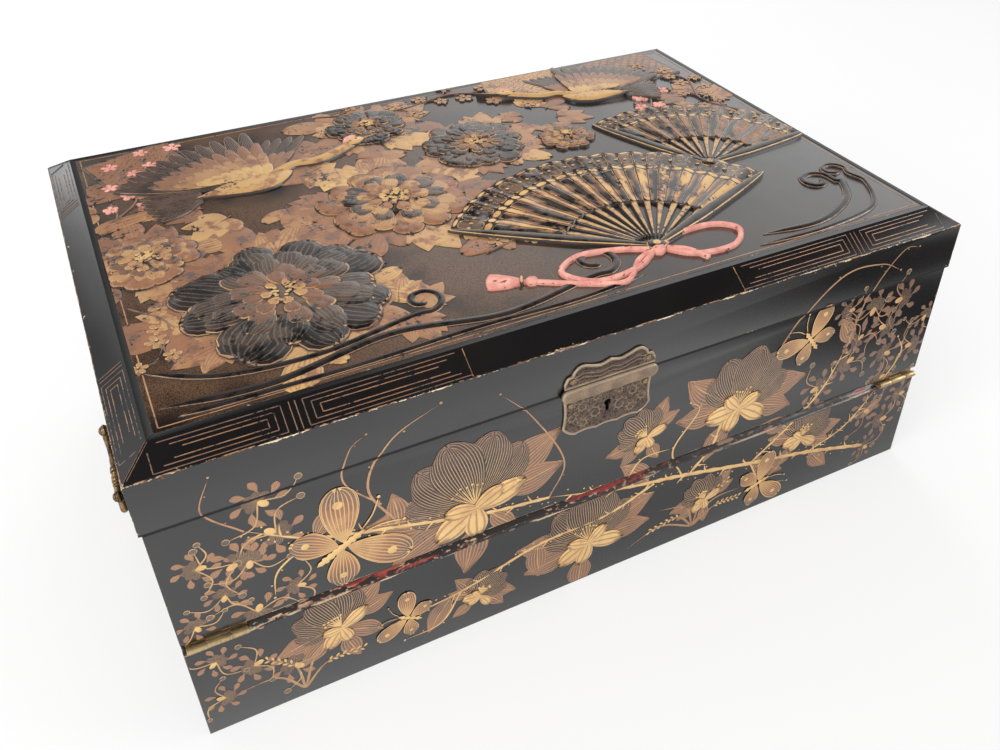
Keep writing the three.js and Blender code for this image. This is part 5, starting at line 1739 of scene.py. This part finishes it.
def nail_piece(node, body, face):
    """A flat-domed nail head in place of a node."""
    low, high = (np.array(corner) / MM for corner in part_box(node))
    angle = np.linspace(0, math.pi / 2, 10)
    out = np.concatenate(([0, 0], 0.15 + 0.65 * np.sin(angle))) + np.arange(12) * 1e-4
    wide = np.concatenate(([0, NAIL_RADIUS], NAIL_RADIUS * np.cos(angle)))
    middle = (low[0] + high[0]) / 2, face - out, (low[2] + high[2]) / 2
    add_piece(swept(node + "_head", middle, (1, 0, 0), wide), nail_brass, body, True, [node])


for way in ("left", "right"):
    nail_piece("lock_nail_lower_" + way, "fall", LOWER_RIM)
    nail_piece("lock_nail_upper_" + way, "lid", UPPER_RIM)
print("nails ready")

# %% [markdown]
# ## Drop handles
# The bail is a bent rod: its middle line runs down one arm, along the grip and up the other arm, and
# the radius swells into rings and beads where the turner left them. A pin at each end reaches into the
# knob of its post.
# %% Handles
POST_Y, REACH, HANDLE_Z, BAIL_DROP, ARM_RADIUS = 28.5, 11.2, 57.0, 14.0, 1.75
ARM = [(22.5, 0.7), (22.8, -2.4), (25.1, -7.6), (25.8, -11.0), (24.4, -13.4), (21.3, -BAIL_DROP)]
# Each ring of the grip has a place, a half width and a rise.
GRIP_RINGS = [(0, 1.7, 1.35), (3.1, 1.25, 1.25), (5.3, 0.85, 0.8), (8.6, 1.3, 1.15), (10.7, 0.7, 0.95),
              (12.2, 0.5, 0.4)]


def post(name, side, y):
    """A turned post: a flange with a rounded rim, a waisted neck and a knob with a raised belt."""
    edge = np.linspace(0, math.pi / 2, 6)
    ball = np.linspace(0.78, math.pi, 34)
    knob = 3.3 + 0.4 * np.exp(-((ball - 1.57) / 0.16) ** 2) - 0.2 * np.exp(-((ball - 2.2) / 0.1) ** 2)
    out = [0, 0, *(0.5 + 0.7 * np.sin(edge)), 1.7, 2.6, 3.6, 5.4, 7.6, *(REACH - knob * np.cos(ball))]
    wide = [0, 5.4, *(4.6 + 0.8 * np.cos(edge)), 3.6, 2.8, 2.45, 2.3, 2.35, *(knob * np.sin(ball))]
    out = np.maximum.accumulate(np.array(out) + np.arange(len(out)) * 1e-5)
    return swept(name, (side * (CASE_SIDE + out), y, HANDLE_Z), (0, 0, 1), wide)


def bail(name, side):
    """A bent rod round a grip with rings: the radius there is 2.05 plus, for each ring at a place c of
    half width w, its rise times the square root of 1 - ((y - c) / w)^2."""
    down = curve_through(np.array(ARM), 34)[0]
    grip_y = np.linspace(21.0, -21.0, 150)
    grip = np.stack((grip_y, np.full(150, -BAIL_DROP)), -1)
    arm_radius = ARM_RADIUS + 0.35 * np.linspace(0, 1, 34)
    away = np.abs(grip_y)
    grip_radius = 2.05 + 0.35 * np.clip((away - 12) / 5, 0, 1) * np.clip((21 - away) / 4, 0.2, 1)
    for centre, half, rise in GRIP_RINGS:
        grip_radius += rise * np.sqrt(np.clip(1 - ((away - centre) / half) ** 2, 0, None))
    angle = np.linspace(0, math.pi / 2, 9)[:-1]
    along, wide = ARM_RADIUS * (1 - np.cos(angle)), ARM_RADIUS * np.sin(angle)
    tip = np.stack((np.full(8, ARM[0][0]), ARM[0][1] + ARM_RADIUS - along), -1)
    arm = np.concatenate((tip, down))
    y, z = np.concatenate((arm, grip, (arm * (-1, 1))[::-1])).T
    arm_radius = np.concatenate((wide, arm_radius))
    radius = np.concatenate((arm_radius, grip_radius, arm_radius[::-1]))
    x = side * (CASE_SIDE + REACH)
    parts = [swept(name, (x, y, HANDLE_Z + z), (1, 0, 0), radius)]
    for way in (-1, 1):
        y = np.array((22.0, 22.0001, 28.4, 28.4001)) * way
        parts.append(swept(name, (x, y, HANDLE_Z), (0, 0, 1), [0, 1.0, 1.0, 0], 16))
    return remade(name, parts, weld=False)


for name, side in (("left", -1), ("right", 1)):
    for place, y in (("front", -POST_Y), ("back", POST_Y)):
        node = "handle_post_%s_%s" % (name, place)
        add_piece(post(node + "_turned", side, y), handle_brass, "case", True, [node])
    mesh = bail("bail_%s_turned" % name, side)
    add_piece(mesh, handle_brass, name + "_handle", True, ["bail_" + name])
print("handles ready")

# %% [markdown]
# ## Hinges and lock works
# These keep the model's shape, with their edges rounded, because their knuckles, pins and the lock's
# channel have to fit each other.
# %% Hinges and lock works
for group, body in (("fall_hinge", "fall"), ("lid_hinge", "lid")):
    for way in ("left", "right"):
        name = "%s_%s_" % (group, way)
        board(name + "fixed", [name + "fixed_leaf"], hinge_brass, "case", 0.12)
        board(name + "moving", [name + "moving_leaf"], hinge_brass, body, 0.12)
        board(name + "rod", [name + "pin"], hinge_brass, "case", 0.1)
board("lock_case_plate", ["lock_case"], lock_steel, "fall", 0.25)
board("lock_bolt_bar", ["lock_bolt"], lock_steel, "bolt", 0.2)
board("lock_link_eye", ["lock_link"], hinge_brass, "lid", 0.2)

# %% [markdown]
# ## Interior
# Inside, such boxes are lined with nashiji, brown lacquer strewn with gold flakes. The sloping board
# is covered with cloth for writing on, and two glass wells with brass caps stand beside the pen tray.
# %% Interior finishes


def nashiji():
    """Flakes are the cells of a Voronoi pattern whose random number is high, seen through brown
    lacquer."""
    finish = Finish("inside_nashiji")
    settings = {"Vector": finish.place(), "Scale": 900.0}
    flake = finish.node("TexVoronoi", settings, output=1, feature="F1")
    chance = finish.node("SeparateColor", {0: flake}, output=0)
    glint = finish.node("SeparateColor", {0: flake}, output=1)
    drift = finish.noise(24, 4)
    shown = (chance + (drift - 0.5) * 0.9).step(0.8, 0.84)
    ground = finish.mix(finish.noise(40, 3).step(0.3, 0.7), srgb(44, 22, 13), srgb(66, 34, 18))
    gold = finish.mix(glint, srgb(150, 98, 44), srgb(222, 170, 96))
    color = finish.mix(shown, ground, gold)
    rough = 0.2 + finish.noise(60, 3) * 0.14
    normal = finish.bump(finish.noise(26, 2), 0.3, 0.0005)
    return finish.set(Base_Color=color, Roughness=rough, Normal=normal, Metallic=shown * 0.5)


def cloth():
    """Dark red twill: two diagonal waves of threads, with a worn paler middle, in a margin of black
    lacquer with a gold line along it."""
    finish = Finish("writing_cloth")
    x, y = finish.axis(0), finish.axis(1)
    low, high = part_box("writing_board")
    margin = (x - low[0]).least(high[0] - x).least(y - low[1]).least(high[1] - y) * 1000
    black = margin.step(10.2, 10.0)
    gilt = (margin - 7.4).size().step(0.7, 0.5)
    warp = ((x + y) * 4200).sine()
    weft = ((x - y) * 5200).sine()
    weave = (warp * 0.5 + weft * 0.3).step(-0.6, 0.7)
    fade = finish.noise(9, 4).step(0.35, 0.7)
    dark = finish.mix(fade, srgb(62, 22, 26), srgb(92, 40, 40))
    light = finish.mix(fade, srgb(96, 38, 40), srgb(130, 66, 60))
    fluff = finish.noise(600, 3)
    color = finish.mix(weave * 0.7 + fluff * 0.3, dark, light)
    color = finish.mix(black, color, BLACK)
    color = finish.mix(gilt, color, srgb(196, 150, 92))
    rough = 0.92 - black * 0.66 + finish.noise(60, 3) * 0.06
    finish.set(Base_Color=color, Roughness=rough, Specular_IOR_Level=0.3)
    return finish.set(Normal=finish.bump((weave + fluff) * (1 - black) + gilt * 0.4, 0.5, 0.0003))


def well_glass():
    """Thick greenish glass with an ink stain on its floor."""
    finish = Finish("ink_well_glass")
    height = finish.axis(2) * 1000
    stain = (finish.noise(90, 4) * 6 - (height - 72)).step(-1, 3)
    color = finish.mix(stain, srgb(206, 226, 220), srgb(24, 26, 44))
    finish.set(Base_Color=color, Roughness=0.04 + stain * 0.3, IOR=1.5, Transmission_Weight=0.75)
    return finish.set(Normal=finish.bump(finish.noise(120, 3), 0.25, 0.0004))


print("interior finishes ready")

# %% [markdown]
# ## Interior pieces
# The inner boards keep the model's shape, with rounded edges.
# %% Interior pieces
inside = nashiji()
glass = well_glass()
for node in ("toe_rail", "ledger_left", "ledger_right", "partition", "divider_left", "divider_right",
             "ink_bay_floor_left", "ink_bay_floor_right", "tray_cleat_left", "tray_cleat_right", "pen_tray"):
    board(node + "_lacquered", [node], inside, "case", 0.4)
board("lid_lining_lacquered", ["lid_lining"], inside, "lid", 0.2)
board("writing_board_covered", ["writing_board"], cloth(), "case", 0.8)
for way in ("left", "right"):
    board("ink_well_%s_cut" % way, ["ink_well_" + way], glass, "case", 0.5)
    board("ink_well_cap_%s_turned" % way, ["ink_well_cap_" + way], hinge_brass, "case", 0.3)
